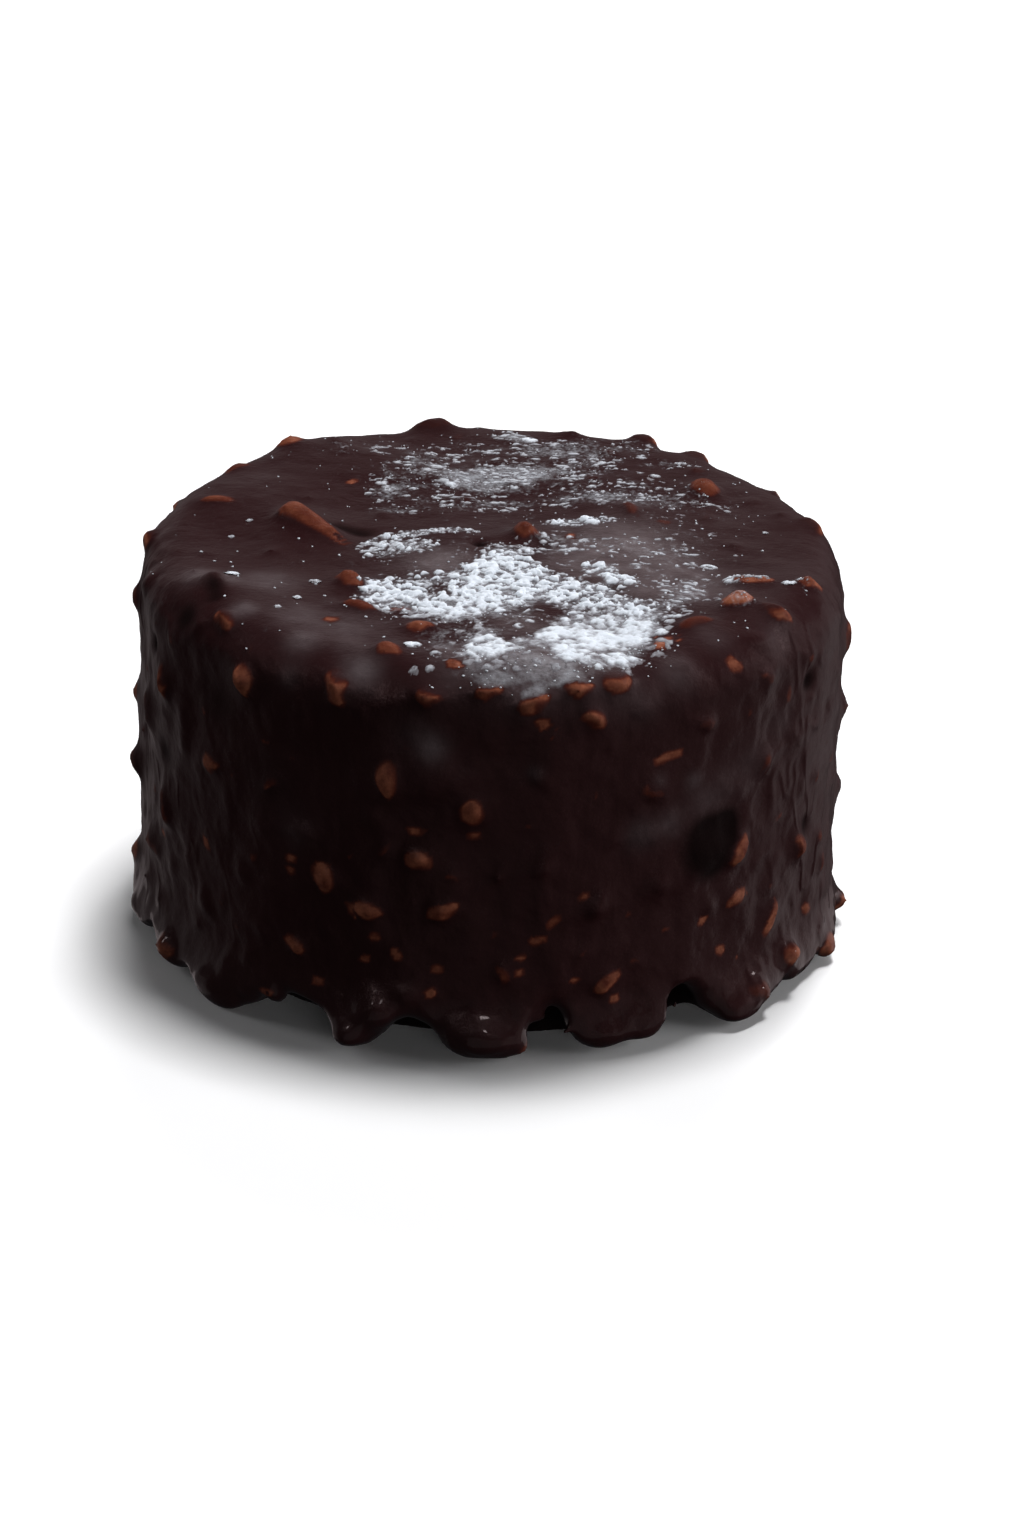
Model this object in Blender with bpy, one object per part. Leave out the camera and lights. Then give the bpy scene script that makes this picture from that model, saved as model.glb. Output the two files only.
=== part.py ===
"""A single-portion entremet: a round, uncut cake under a thick dark chocolate coat.

The coat has chopped nuts in it, which stand out as lumps all over, and it ends round the foot in
drips with low gaps between them. It is one solid, in metres, +Z up. The origin is the middle of
the underside, on the surface that the cake stands on, and the front of the cake looks along -Y.

A place on the coat is given by a bearing and a reach. The bearing is the angle round the cake in
degrees, 0 at the front and 90 on the +X side. The reach is the way along the coat from the
middle of the top, out over the rim and down the wall.
"""

import math
import random

import bmesh
import bpy
from mathutils import Matrix, Vector, noise

MM = 0.001

# The cake
WALL_RADIUS = 37.2 * MM  # outside of the coat, halfway up
CAKE_HEIGHT = 42.6 * MM  # from the surface it stands on to the top
RIM_ROUND = 5.0 * MM  # radius where the top turns into the wall
BASE_RADIUS = 31.5 * MM  # flat underside that carries the cake

# The coat's foot
FLARE_TOP = 7.0 * MM  # height where the wall starts to spread
FLARE = 0.2 * MM  # spread of the wall between two drips
DRIP_BULGE = 0.9 * MM  # what a drip adds to that spread
GAP_HEIGHT = 4.4 * MM  # underside of the coat between two drips
DRIP_CLEARANCE = 0.15 * MM  # underside of the coat at a drip
HEM_ROUND = 1.8 * MM  # rounding of the coat's lowest edge
DRIP_SIDE = 8.0  # degrees from a drip's full depth to nothing

# The coat's slow unevenness
SWELL = 0.45 * MM
SWELL_SPAN = 13.0 * MM
RUN_STRETCH = 0.45  # how much the wall's unevenness is drawn out downwards

# Facets
SIDES = 104
TOP_RINGS = 4
RIM_RINGS = 4
WALL_RINGS = 6
HEM_RINGS = 2

# Nuts
NUT_SEED = 11
NUT_SPACING = 7.6 * MM  # least distance between a scattered nut and any other, on the wall
TOP_THINNING = 2.0  # how many times that distance on the top
NUT_TRIES = 330
NUT_RANGE = (2.4 * MM, 4.4 * MM)  # length of a scattered nut
NUT_WIDTH = 0.72  # a scattered nut's width as a share of its length
NUT_PROUD = 0.27  # and how proud it is on the wall
TOP_NUT_PROUD = 0.2
LARGE_NUT = 3.6 * MM  # a nut from this length up gets more sides
NUT_SIDES = (6, 8)  # of a small nut and a large one
# A nut's rings from its peak to its sunk end, as (radius, height) shares of its half width and of
# how proud it is. The lowest two spread, because the coat runs up onto the nut.
NUT_RINGS = ((0.62, 0.78), (0.98, 0.22), (1.12, -0.35), (1.0, -1.1))
ROUGHNESS = 0.13  # how far a nut's corners stray, as a share of its size
FLOOR_GAP = 0.2 * MM  # a nut at the foot stays this far above the surface
WELD = 0.02 * MM  # corners of the union that are this near to each other become one

# Drips seen from the front: (bearing, half width in degrees, how far down, 1 being all the way)
FRONT_DRIPS = (
    (-82, 5, 0.9), (-64, 6, 1.0), (-45, 8, 1.0), (-20, 4, 1.0), (0, 6, 1.0), (17, 4, 0.75),
    (29, 3, 0.65), (45, 6, 1.0), (59, 5, 0.95), (71, 6, 0.9), (86, 4, 0.9),
)
BACK_DRIPS = 9
BACK_DRIP_HALF = (3.5, 6.5)  # range of half widths, in degrees
BACK_DRIP_DOWN = (0.7, 1.0)

# The nuts that stand out most: (bearing, reach, length, width, how proud, turn). Sizes are in mm.
# The turn is in degrees, from level round the cake towards down the coat.
TOP_NUTS = (
    (-101, 19.5, 8.2, 2.8, 1.9, -65), (125, 27.5, 4.2, 3.2, 1.6, 20), (100, 3.5, 4.4, 3.0, 1.1, 0),
    (119, 16.0, 5.0, 2.4, 1.2, 40), (-104, 30.5, 4.5, 2.0, 0.8, 76), (-48, 20.0, 3.6, 2.6, 1.5, 10),
    (-35, 23.5, 3.4, 2.4, 1.0, 25), (-61, 32.5, 3.6, 3.0, 1.4, 0), (55, 30.5, 3.8, 3.2, 1.9, 0),
    (57, 34.5, 3.8, 2.8, 1.5, 70), (42, 31.0, 4.0, 2.2, 0.9, 10), (69, 28.5, 4.8, 2.0, 0.9, 80),
    (-16, 26.0, 2.8, 2.2, 0.9, 0), (-18, 32.5, 3.2, 2.2, 1.0, 30), (72, 34.5, 2.8, 2.0, 0.9, 60),
)
RIM_NUTS = (
    (-50, 35.5, 3.4, 2.4, 1.3, 20), (-41, 40.0, 3.4, 2.8, 1.6, 60), (-24, 37.5, 4.0, 3.0, 1.8, 60),
    (-9, 38.0, 3.2, 2.4, 1.4, 0), (0, 37.0, 3.0, 2.4, 1.4, 0), (7, 38.5, 3.6, 2.2, 1.4, -25),
    (14, 37.0, 3.6, 2.8, 1.8, 0), (20, 36.5, 3.8, 2.6, 1.7, 0), (16, 40.0, 3.2, 2.4, 1.4, 30),
    (-62, 45.5, 4.4, 3.0, 1.2, 70), (-167, 34.0, 5.2, 4.0, 1.8, 0), (-138, 34.5, 3.4, 2.8, 1.2, 0),
    (-123, 34.0, 4.0, 2.6, 0.7, 0), (153, 35.0, 4.2, 3.0, 1.8, 0), (142, 35.5, 4.0, 3.0, 1.8, 0),
    (-94, 37.5, 3.4, 2.8, 1.4, 0), (-88, 42.0, 3.8, 3.2, 1.2, 0), (88, 44.0, 3.8, 3.4, 1.4, 90),
)
WALL_NUTS = (
    (-86, 60.0, 4.0, 3.4, 1.6, 0), (-88, 71.5, 2.8, 2.4, 0.9, 0), (-15, 46.5, 4.8, 2.6, 1.3, 95),
    (-26, 58.5, 4.0, 3.0, 1.1, 80), (-10, 55.5, 3.6, 2.6, 1.1, 10), (-2, 50.0, 3.4, 2.6, 1.0, 80),
    (-18, 61.5, 3.2, 1.8, 0.9, 10), (-6, 61.0, 3.6, 2.0, 1.0, -30), (-31, 67.0, 3.0, 2.2, 1.0, 30),
    (-49, 51.0, 3.0, 2.6, 1.1, 0), (20, 69.0, 3.6, 2.0, 1.0, -35), (42, 57.5, 5.2, 4.0, 2.2, -40),
    (60, 61.5, 3.2, 2.6, 1.3, 70), (44, 64.0, 3.0, 2.0, 0.9, -20), (53, 68.5, 4.6, 2.2, 1.1, -60),
)
FOOT_NUTS = (
    (-76, 77.0, 3.4, 3.0, 1.5, 0), (-61, 76.0, 3.2, 3.0, 1.6, 0), (47, 75.5, 5.0, 3.6, 1.5, 0),
    (58, 73.5, 3.0, 2.6, 1.5, 0), (72, 77.0, 3.4, 3.0, 1.6, 0), (6, 77.0, 2.4, 2.2, 1.1, 0),
    (25, 78.0, 2.4, 2.0, 1.0, 0), (87, 74.5, 3.0, 2.6, 1.2, 0),
)


def clear_scene():
    for item in list(bpy.data.objects):
        bpy.data.objects.remove(item)


def smooth_step(value):
    value = min(1.0, max(0.0, value))
    return value * value * (3.0 - 2.0 * value)


def turn_between(first, second):
    """Smallest angle between two bearings, in degrees."""
    return abs((first - second + 180.0) % 360.0 - 180.0)


def drips():
    """The front's drips, and evenly spaced ones of uneven width and depth round the back."""
    draw = random.Random(NUT_SEED)
    start = FRONT_DRIPS[-1][0]
    step = (360 + FRONT_DRIPS[0][0] - start) / (BACK_DRIPS + 1)
    back = []
    for number in range(BACK_DRIPS):
        bearing = start + step * (number + 1) + draw.uniform(-2.5, 2.5)
        back.append((bearing, draw.uniform(*BACK_DRIP_HALF), draw.uniform(*BACK_DRIP_DOWN)))
    return [*FRONT_DRIPS, *back]


def drip_share(bearing, all_drips):
    """1 on a drip and 0 in the gap between two. A drip is round below and a gap is pointed."""
    share = 0.0
    for middle, half, down in all_drips:
        inside = (half + DRIP_SIDE / 2 - turn_between(bearing, middle)) / DRIP_SIDE
        share = max(share, down * math.sin(min(1.0, max(0.0, inside)) * math.pi / 2))
    return share


def profile(bearing, all_drips):
    """The coat's outline at one bearing, from the middle of the top to the edge of the base.

    Each point is (radius, height, lean), where lean is the angle of the surface from level, or
    None where the slow unevenness doesn't reach.
    """
    share = drip_share(bearing, all_drips)
    under = DRIP_CLEARANCE + GAP_HEIGHT * (1.0 - share)
    foot = WALL_RADIUS + FLARE + DRIP_BULGE * share
    rim_middle = WALL_RADIUS - RIM_ROUND
    shoulder = CAKE_HEIGHT - RIM_ROUND
    hem_middle = under + HEM_ROUND
    right_angle = math.pi / 2

    points = [(rim_middle * ring / TOP_RINGS, CAKE_HEIGHT, 0.0) for ring in range(TOP_RINGS + 1)]
    for ring in range(1, RIM_RINGS + 1):
        lean = right_angle * ring / RIM_RINGS
        points.append(
            (rim_middle + RIM_ROUND * math.sin(lean), shoulder + RIM_ROUND * math.cos(lean), lean)
        )
    for ring in range(1, WALL_RINGS + 1):
        height = shoulder + (hem_middle - shoulder) * ring / WALL_RINGS
        spread = smooth_step((FLARE_TOP - height) / (FLARE_TOP - hem_middle))
        points.append((WALL_RADIUS + (foot - WALL_RADIUS) * spread, height, right_angle))
    for ring in range(1, HEM_RINGS + 1):
        turn = right_angle * ring / HEM_RINGS
        radius = foot - HEM_ROUND + HEM_ROUND * math.cos(turn)
        points.append((radius, hem_middle - HEM_ROUND * math.sin(turn), None))
    points.append((BASE_RADIUS + DRIP_CLEARANCE, under, None))
    points.append((BASE_RADIUS, 0.0, None))
    return points


def to_space(bearing, radius, height):
    angle = math.radians(bearing)
    return Vector((radius * math.sin(angle), -radius * math.cos(angle), height))


def coat_point(bearing, radius, height, lean):
    """A point of the profile in space, moved out or in by the coat's slow unevenness."""
    point = to_space(bearing, radius, height)
    if lean is None:
        return point
    place = Vector((point.x, point.y, point.z * RUN_STRETCH)) / SWELL_SPAN
    swell = SWELL * noise.noise(place) * 2.0
    return to_space(
        bearing, radius + swell * math.sin(lean), height + swell * math.cos(lean)
    )


def coated_cake():
    """The cake without its nuts: rings of points joined into one closed skin."""
    all_drips = drips()
    mesh = bmesh.new()
    top = mesh.verts.new(coat_point(0.0, *profile(0.0, all_drips)[0]))
    columns = []
    for side in range(SIDES):
        bearing = 360.0 * side / SIDES
        outline = profile(bearing, all_drips)[1:]
        columns.append([mesh.verts.new(coat_point(bearing, *point)) for point in outline])
    for side, column in enumerate(columns):
        beside = columns[(side + 1) % SIDES]
        mesh.faces.new((top, column[0], beside[0]))
        for upper in range(len(column) - 1):
            mesh.faces.new(
                (column[upper], column[upper + 1], beside[upper + 1], beside[upper])
            )
    mesh.faces.new([column[-1] for column in reversed(columns)])
    bmesh.ops.recalc_face_normals(mesh, faces=mesh.faces)
    return finished("entremet", mesh)


def finished(name, mesh):
    data = bpy.data.meshes.new(name)
    mesh.to_mesh(data)
    mesh.free()
    return bpy.data.objects.new(name, data)


def place_on_coat(bearing, reach, all_drips):
    """The point at this reach along the coat, and the axes there: round, up the coat, and out."""
    outline = [coat_point(bearing, *point) for point in profile(bearing, all_drips)]
    left = reach
    for start, end in zip(outline, outline[1:]):
        length = (end - start).length
        if left <= length:
            break
        left -= length
    up = (start - end).normalized()
    angle = math.radians(bearing)
    across = Vector((math.cos(angle), math.sin(angle), 0.0))
    return start - up * left, across, up, across.cross(up).normalized()


def nut_piece(name, bearing, reach, length, width, proud, turn, draw, all_drips):
    """One lump: an uneven dome with a spread foot, sunk in the coat and standing `proud` of it."""
    point, across, up, out = place_on_coat(bearing, reach, all_drips)
    mesh = bmesh.new()
    sides = NUT_SIDES[length >= LARGE_NUT]
    peak = mesh.verts.new((draw.uniform(-ROUGHNESS, ROUGHNESS), 0.0, 1.0))
    rings = []
    for radius, height in NUT_RINGS:
        ring = []
        for side in range(sides):
            angle = 2.0 * math.pi * side / sides
            stray = radius * (1.0 + draw.uniform(-ROUGHNESS, ROUGHNESS))
            ring.append(
                mesh.verts.new((stray * math.cos(angle), stray * math.sin(angle), height))
            )
        rings.append(ring)
    for side in range(sides):
        beside = (side + 1) % sides
        mesh.faces.new((peak, rings[0][side], rings[0][beside]))
        for upper, lower in zip(rings, rings[1:]):
            mesh.faces.new((upper[side], lower[side], lower[beside], upper[beside]))
    mesh.faces.new(list(reversed(rings[-1])))
    axes = Matrix((across, up, out)).transposed()
    shape = (
        Matrix.Translation(point)
        @ axes.to_4x4()
        @ Matrix.Rotation(math.radians(-turn), 4, "Z")
        @ Matrix.Diagonal((length / 2, width / 2, proud, 1.0))
    )
    mesh.transform(shape)
    for vertex in mesh.verts:
        vertex.co.z = max(vertex.co.z, FLOOR_GAP)
    return finished(name, mesh)


def scattered_nuts(draw, taken, all_drips):
    """Nuts spread evenly over the rest of the coat by the golden angle, smaller than the others."""
    top_reach = WALL_RADIUS - RIM_ROUND
    wall_reach = top_reach + RIM_ROUND * math.pi / 2 + CAKE_HEIGHT - RIM_ROUND - FLARE_TOP / 3
    top_area = math.pi * top_reach**2
    wall_area = 2.0 * math.pi * WALL_RADIUS * (wall_reach - top_reach)
    golden_angle = 180.0 * (3.0 - math.sqrt(5.0))
    found = []
    for number in range(NUT_TRIES):
        area = (number + 0.5) / NUT_TRIES * (top_area + wall_area)
        if area < top_area:
            reach = top_reach * math.sqrt(area / top_area)
        else:
            reach = top_reach + (wall_reach - top_reach) * (area - top_area) / wall_area
        bearing = number * golden_angle + draw.uniform(-4.0, 4.0)
        size = draw.uniform(*NUT_RANGE)
        turn = draw.uniform(0.0, 180.0)
        on_top = area < top_area
        spacing = NUT_SPACING * (TOP_THINNING if on_top else 1.0)
        point = place_on_coat(bearing, reach, all_drips)[0]
        if all((point - other).length > spacing for other in taken):
            taken.append(point)
            proud = size * (TOP_NUT_PROUD if on_top else NUT_PROUD)
            found.append((bearing, reach, size, size * NUT_WIDTH, proud, turn))
    return found


def nut_collection():
    """Every nut as its own closed lump, in a collection for the union."""
    draw = random.Random(NUT_SEED)
    all_drips = drips()
    chosen = [
        (bearing, *(size * MM for size in sizes), turn)
        for bearing, *sizes, turn in (*TOP_NUTS, *RIM_NUTS, *WALL_NUTS, *FOOT_NUTS)
    ]
    taken = [place_on_coat(nut[0], nut[1], all_drips)[0] for nut in chosen]
    chosen += scattered_nuts(draw, taken, all_drips)
    group = bpy.data.collections.new("nuts")
    bpy.context.scene.collection.children.link(group)
    for number, nut in enumerate(chosen):
        group.objects.link(nut_piece(f"nut_{number}", *nut, draw, all_drips))
    return group


def fuse(cake, group):
    """Joins the nuts to the cake in one union, and removes the loose ones."""
    union = cake.modifiers.new("nuts", "BOOLEAN")
    union.operation = "UNION"
    union.operand_type = "COLLECTION"
    union.collection = group
    union.solver = "MANIFOLD"
    bpy.context.view_layer.objects.active = cake
    bpy.ops.object.modifier_apply(modifier=union.name)
    for piece in list(group.objects):
        bpy.data.objects.remove(piece)
    bpy.data.collections.remove(group)


def clean_union(cake):
    """Welds corners that nearly meet, and drops sealed hollows and loose scraps."""
    mesh = bmesh.new()
    mesh.from_mesh(cake.data)
    bmesh.ops.remove_doubles(mesh, verts=mesh.verts, dist=WELD)
    bmesh.ops.dissolve_degenerate(mesh, edges=mesh.edges, dist=WELD)
    bmesh.ops.triangulate(mesh, faces=mesh.faces)
    unseen = set(mesh.faces)
    skins = []
    while unseen:
        skin = set()
        border = {next(iter(unseen))}
        while border:
            skin |= border
            sides = {edge for face in border for edge in face.edges if edge.is_manifold}
            border = {face for edge in sides for face in edge.link_faces} - skin
        unseen -= skin
        skins.append(skin)
    outer = max(skins, key=len)
    spare = [face for face in mesh.faces if face not in outer]
    bmesh.ops.delete(mesh, geom=spare, context="FACES")
    mesh.to_mesh(cake.data)
    mesh.free()


def chocolate():
    material = bpy.data.materials.new("dark_chocolate")
    material.use_nodes = True
    surface = material.node_tree.nodes["Principled BSDF"]
    surface.inputs["Base Color"].default_value = (0.022, 0.009, 0.007, 1.0)
    surface.inputs["Roughness"].default_value = 0.35
    surface.inputs["Metallic"].default_value = 0.0
    return material


def main():
    clear_scene()
    cake = coated_cake()
    bpy.context.scene.collection.objects.link(cake)
    fuse(cake, nut_collection())
    clean_union(cake)
    cake.data.shade_smooth()
    cake.data.materials.clear()
    cake.data.materials.append(chocolate())


main()
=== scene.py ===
# The looks of a small round entremet: dark chocolate coat with chopped nuts, and icing sugar on top.
import math
import random

import bmesh
import bpy
import numpy as np
from mathutils import Matrix, Vector, noise


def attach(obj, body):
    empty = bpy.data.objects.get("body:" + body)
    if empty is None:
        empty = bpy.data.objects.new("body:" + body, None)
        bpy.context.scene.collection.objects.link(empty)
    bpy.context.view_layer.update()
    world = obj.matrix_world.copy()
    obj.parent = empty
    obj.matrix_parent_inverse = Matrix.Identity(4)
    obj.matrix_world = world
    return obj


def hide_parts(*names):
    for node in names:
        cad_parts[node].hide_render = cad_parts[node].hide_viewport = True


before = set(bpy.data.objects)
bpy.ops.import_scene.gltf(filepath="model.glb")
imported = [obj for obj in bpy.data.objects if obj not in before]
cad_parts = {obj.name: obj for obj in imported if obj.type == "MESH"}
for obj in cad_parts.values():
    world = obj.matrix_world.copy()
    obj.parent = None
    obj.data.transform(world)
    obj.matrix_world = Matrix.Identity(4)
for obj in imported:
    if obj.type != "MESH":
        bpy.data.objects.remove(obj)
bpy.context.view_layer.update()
print("frame loaded")

mm = 0.001

# Objects and meshes


def sceneObject(name, data, linked=True):
    item = bpy.data.objects.new(name, data)
    if linked:
        bpy.context.scene.collection.objects.link(item)
    return item


def bmeshData(name, mesh):
    data = bpy.data.meshes.new(name)
    mesh.to_mesh(data)
    mesh.free()
    return data


def settled(item):
    # the evaluated object as a plain mesh, and its modifiers gone
    bpy.context.view_layer.update()
    graph = bpy.context.evaluated_depsgraph_get()
    data = bpy.data.meshes.new_from_object(item.evaluated_get(graph), depsgraph=graph)
    item.modifiers.clear()
    return data


def fused(name, voxel, *meshes):
    # one closed skin round them all
    both = bmesh.new()
    for data in meshes:
        both.from_mesh(data)
    item = sceneObject(name, bmeshData(name, both))
    live = item.modifiers.new("voxels", "REMESH")
    live.mode = "VOXEL"
    live.voxel_size = voxel
    item.data = settled(item)
    return item


def triangles(data):
    return sum(len(face.vertices) - 2 for face in data.polygons)


# Node trees


class Signal:
    # an output of a node that takes arithmetic; for a vector or a colour it makes vector nodes
    def __init__(self, socket):
        self.socket, self.tree = socket, socket.id_data
        self.wide = socket.type in ("VECTOR", "RGBA")

    def __add__(self, other):
        return calculated("ADD", self, other)

    def __radd__(self, other):
        return calculated("ADD", other, self)

    def __sub__(self, other):
        return calculated("SUBTRACT", self, other)

    def __rsub__(self, other):
        return calculated("SUBTRACT", other, self)

    def __mul__(self, other):
        return calculated("MULTIPLY", self, other)

    def __truediv__(self, other):
        return calculated("DIVIDE", self, other)

    def __pow__(self, other):
        return calculated("POWER", self, other)

    def __abs__(self):
        return calculated("ABSOLUTE", self)

    def axes(self):
        return [Signal(part) for part in addNode(self.tree, "ShaderNodeSeparateXYZ", {0: self}).outputs]


def calculated(operation, first, second=0.0, clamp=False):
    # a vector comes first, and is scaled by a number or multiplied by a tuple
    if getattr(first, "wide", False):
        scaled = operation == "MULTIPLY" and not isinstance(second, tuple)
        return made(first.tree, "ShaderNodeVectorMath", {
            0: first, 3 if scaled else 1: second,
        }, operation="SCALE" if scaled else operation)
    tree = (first if isinstance(first, Signal) else second).tree
    return made(tree, "ShaderNodeMath", {0: first, 1: second}, operation=operation, use_clamp=clamp)


def larger(first, *others):
    for other in others:
        first = calculated("MAXIMUM", first, other)
    return first


def fill(node, values):
    # sockets by name or place; a value is a signal or a plain one
    for key, value in values.items():
        if isinstance(key, int):
            socket = node.inputs[key]
        else:
            socket = next(s for s in node.inputs if s.name == key and s.enabled)
        if isinstance(value, Signal):
            value.tree.links.new(value.socket, socket)
        else:
            socket.default_value = value


def addNode(tree, kind, values=None, **settings):
    node = tree.nodes.new(kind)
    for name, value in settings.items():
        setattr(node, name, value)
    fill(node, values or {})
    return node


def out(node, name=None):
    return Signal(next(s for s in node.outputs if s.enabled and (name is None or s.name == name)))


def made(tree, kind, values=None, output=None, **settings):
    return out(addNode(tree, kind, values, **settings), output)


def ramp(value, low, high, toLow=0.0, toHigh=1.0):
    return made(value.tree, "ShaderNodeMapRange", {
        "Value": value, "From Min": low, "From Max": high, "To Min": toLow, "To Max": toHigh,
    }, interpolation_type="SMOOTHSTEP")


def noiseValue(place, scale, detail=2.0, roughness=0.5, distortion=0.0):
    return made(place.tree, "ShaderNodeTexNoise", {
        "Vector": place, "Scale": scale, "Detail": detail, "Roughness": roughness, "Distortion": distortion,
    })


def vectorOf(x, y, z=0.0):
    return made(x.tree, "ShaderNodeCombineXYZ", {0: x, 1: y, 2: z})


def attribute(tree, name, kind="FLOAT"):
    return made(tree, "GeometryNodeInputNamedAttribute", {"Name": name}, "Attribute", data_type=kind)


def stored(geometry, name, value, kind="FLOAT"):
    return made(geometry.tree, "GeometryNodeStoreNamedAttribute", {
        "Geometry": geometry, "Name": name, "Value": value,
    }, data_type=kind, domain="POINT")


def formOf(item):
    # the geometry of an object that the tree is given
    node = addNode(item.tree, "GeometryNodeObjectInfo", {"Object": item}, transform_space="ORIGINAL")
    return out(node, "Geometry")


def nearestOn(form):
    return made(form.tree, "GeometryNodeProximity", {0: form}, "Position", target_element="FACES")


def blurred(vector, steps):
    return made(vector.tree, "GeometryNodeBlurAttribute", {
        "Value": vector, "Iterations": steps,
    }, data_type="FLOAT_VECTOR")


def moved(geometry, **places):
    return made(geometry.tree, "GeometryNodeSetPosition", {"Geometry": geometry, **places})


def smoothed(geometry):
    return made(geometry.tree, "GeometryNodeSetShadeSmooth", {0: geometry})


def copies(points, form, values):
    values = {"Points": points, "Instance": form, **values}
    placed = made(points.tree, "GeometryNodeInstanceOnPoints", values)
    return made(points.tree, "GeometryNodeRealizeInstances", {"Geometry": placed})


def grown(item, name, build, values):
    # the mesh that a tree of named inputs makes of an object
    tree = bpy.data.node_groups.new(name, "GeometryNodeTree")
    # a socket's type goes by its value's
    kinds = {"NoneType": "Geometry", "float": "Float", "int": "Int", "tuple": "Vector"}
    for label, value in {"Geometry": None, **values}.items():
        kind = type(value).__name__
        tree.interface.new_socket(label, in_out="INPUT", socket_type="NodeSocket" + kinds.get(kind, kind))
    tree.interface.new_socket("Geometry", in_out="OUTPUT", socket_type="NodeSocketGeometry")
    source = tree.nodes.new("NodeGroupInput")
    result = build(tree, lambda label: out(source, label))
    if "Material" in values:
        result = made(tree, "GeometryNodeSetMaterial", {
            "Geometry": result, "Material": out(source, "Material"),
        })
    addNode(tree, "NodeGroupOutput", {0: result})
    # the values go in by socket identifier, before the first evaluation
    live = item.modifiers.new(name, "NODES")
    live.node_group = tree
    for socket in tree.interface.items_tree:
        if socket.in_out == "INPUT" and socket.name in values:
            live[socket.identifier] = values[socket.name]
    return settled(item)


# The coat's form: the rule of the CAD part, with finer rings

cake = {
    "wallRadius": 37.2 * mm,
    "height": 42.6 * mm,
    "rimRound": 5.0 * mm,
    "baseRadius": 31.5 * mm,
    "flareTop": 7.0 * mm,       # where the wall starts to spread
    "flare": 0.2 * mm,
    "dripBulge": 0.9 * mm,
    "gapHeight": 4.4 * mm,      # underside of the coat between two drips
    "dripClearance": 0.15 * mm,
    "hemRound": 1.8 * mm,
    "dripSide": 8.0,            # degrees from a drip's full depth to nothing
    "swell": 0.45 * mm,
    "swellSpan": 13.0 * mm,
    "runStretch": 0.45,
    "sides": 420,
    "rings": (14, 9, 40, 5),    # top, rim, wall and hem
    "placingRings": (4, 4, 6, 2),
    # the coat's lower edge round the front: bearing, height above the surface in mm
    "frontHem": (
        (-90, 1.6), (-84, 0.3), (-76, 0.2), (-70, 2), (-66, 0.5), (-60, 0.2), (-55, 1.4), (-51, 0.3),
        (-44, 0.2), (-40, 1), (-36.5, 3.2), (-33, 4), (-29, 3.6), (-25.5, 3), (-23.4, 1.2), (-21, 0.2),
        (-18, 0.4), (-16, 1.6), (-13.8, 3.4), (-11, 4.1), (-8.5, 3.6), (-6.5, 2.2), (-4.5, 0.7),
        (-2, 0.15), (4.5, 0.2), (6, 1.2), (7, 3.6), (8.4, 5.2), (10.2, 5.8), (12.4, 5.6), (13.8, 4.2),
        (15, 2.4), (17, 0.9), (19.5, 0.4), (24, 0.9), (28, 0.7), (29.8, 1.6), (30.6, 4), (32.4, 5.6),
        (35, 5.6), (37.5, 4.2), (40, 1.8), (43, 0.3), (50, 0.2), (54, 0.7), (57.5, 1.6), (60.5, 0.4),
        (65, 0.2), (70, 1.4), (74, 0.2), (79, 0.4), (83, 2.6), (87, 0.3), (90, 0.3),
    ),
    # bearing, half width in degrees, how far down
    "frontDrips": (
        (-82, 5, 0.9), (-64, 6, 1), (-45, 8, 1), (-20, 4, 1), (0, 6, 1), (17, 4, 0.75), (29, 3, 0.65),
        (45, 6, 1), (59, 5, 0.95), (71, 6, 0.9), (86, 4, 0.9),
    ),
    "backDrips": 9,
    "backDripHalf": (3.5, 6.5),
    "backDripDown": (0.7, 1.0),
}


def smoothStep(value):
    value = min(1.0, max(0.0, value))
    return value * value * (3.0 - 2.0 * value)


def allDrips():
    draw = random.Random(nuts["seed"])
    start = cake["frontDrips"][-1][0]
    step = (360 + cake["frontDrips"][0][0] - start) / (cake["backDrips"] + 1)
    back = []
    for number in range(cake["backDrips"]):
        bearing = start + step * (number + 1) + draw.uniform(-2.5, 2.5)
        back.append((bearing, draw.uniform(*cake["backDripHalf"]), draw.uniform(*cake["backDripDown"])))
    return [*cake["frontDrips"], *back]


def dripShare(bearing):
    share = 0.0
    for middle, half, down in drips:
        turn = abs((bearing - middle + 180.0) % 360.0 - 180.0)
        inside = (half + cake["dripSide"] / 2 - turn) / cake["dripSide"]
        share = max(share, down * math.sin(min(1.0, max(0.0, inside)) * math.pi / 2))
    return share


def hemHeight(bearing):
    for (left, low), (right, high) in zip(cake["frontHem"], cake["frontHem"][1:]):
        if bearing <= right:
            return (low + (high - low) * smoothStep((bearing - left) / (right - left))) * mm
    return cake["frontHem"][-1][1] * mm


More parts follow.
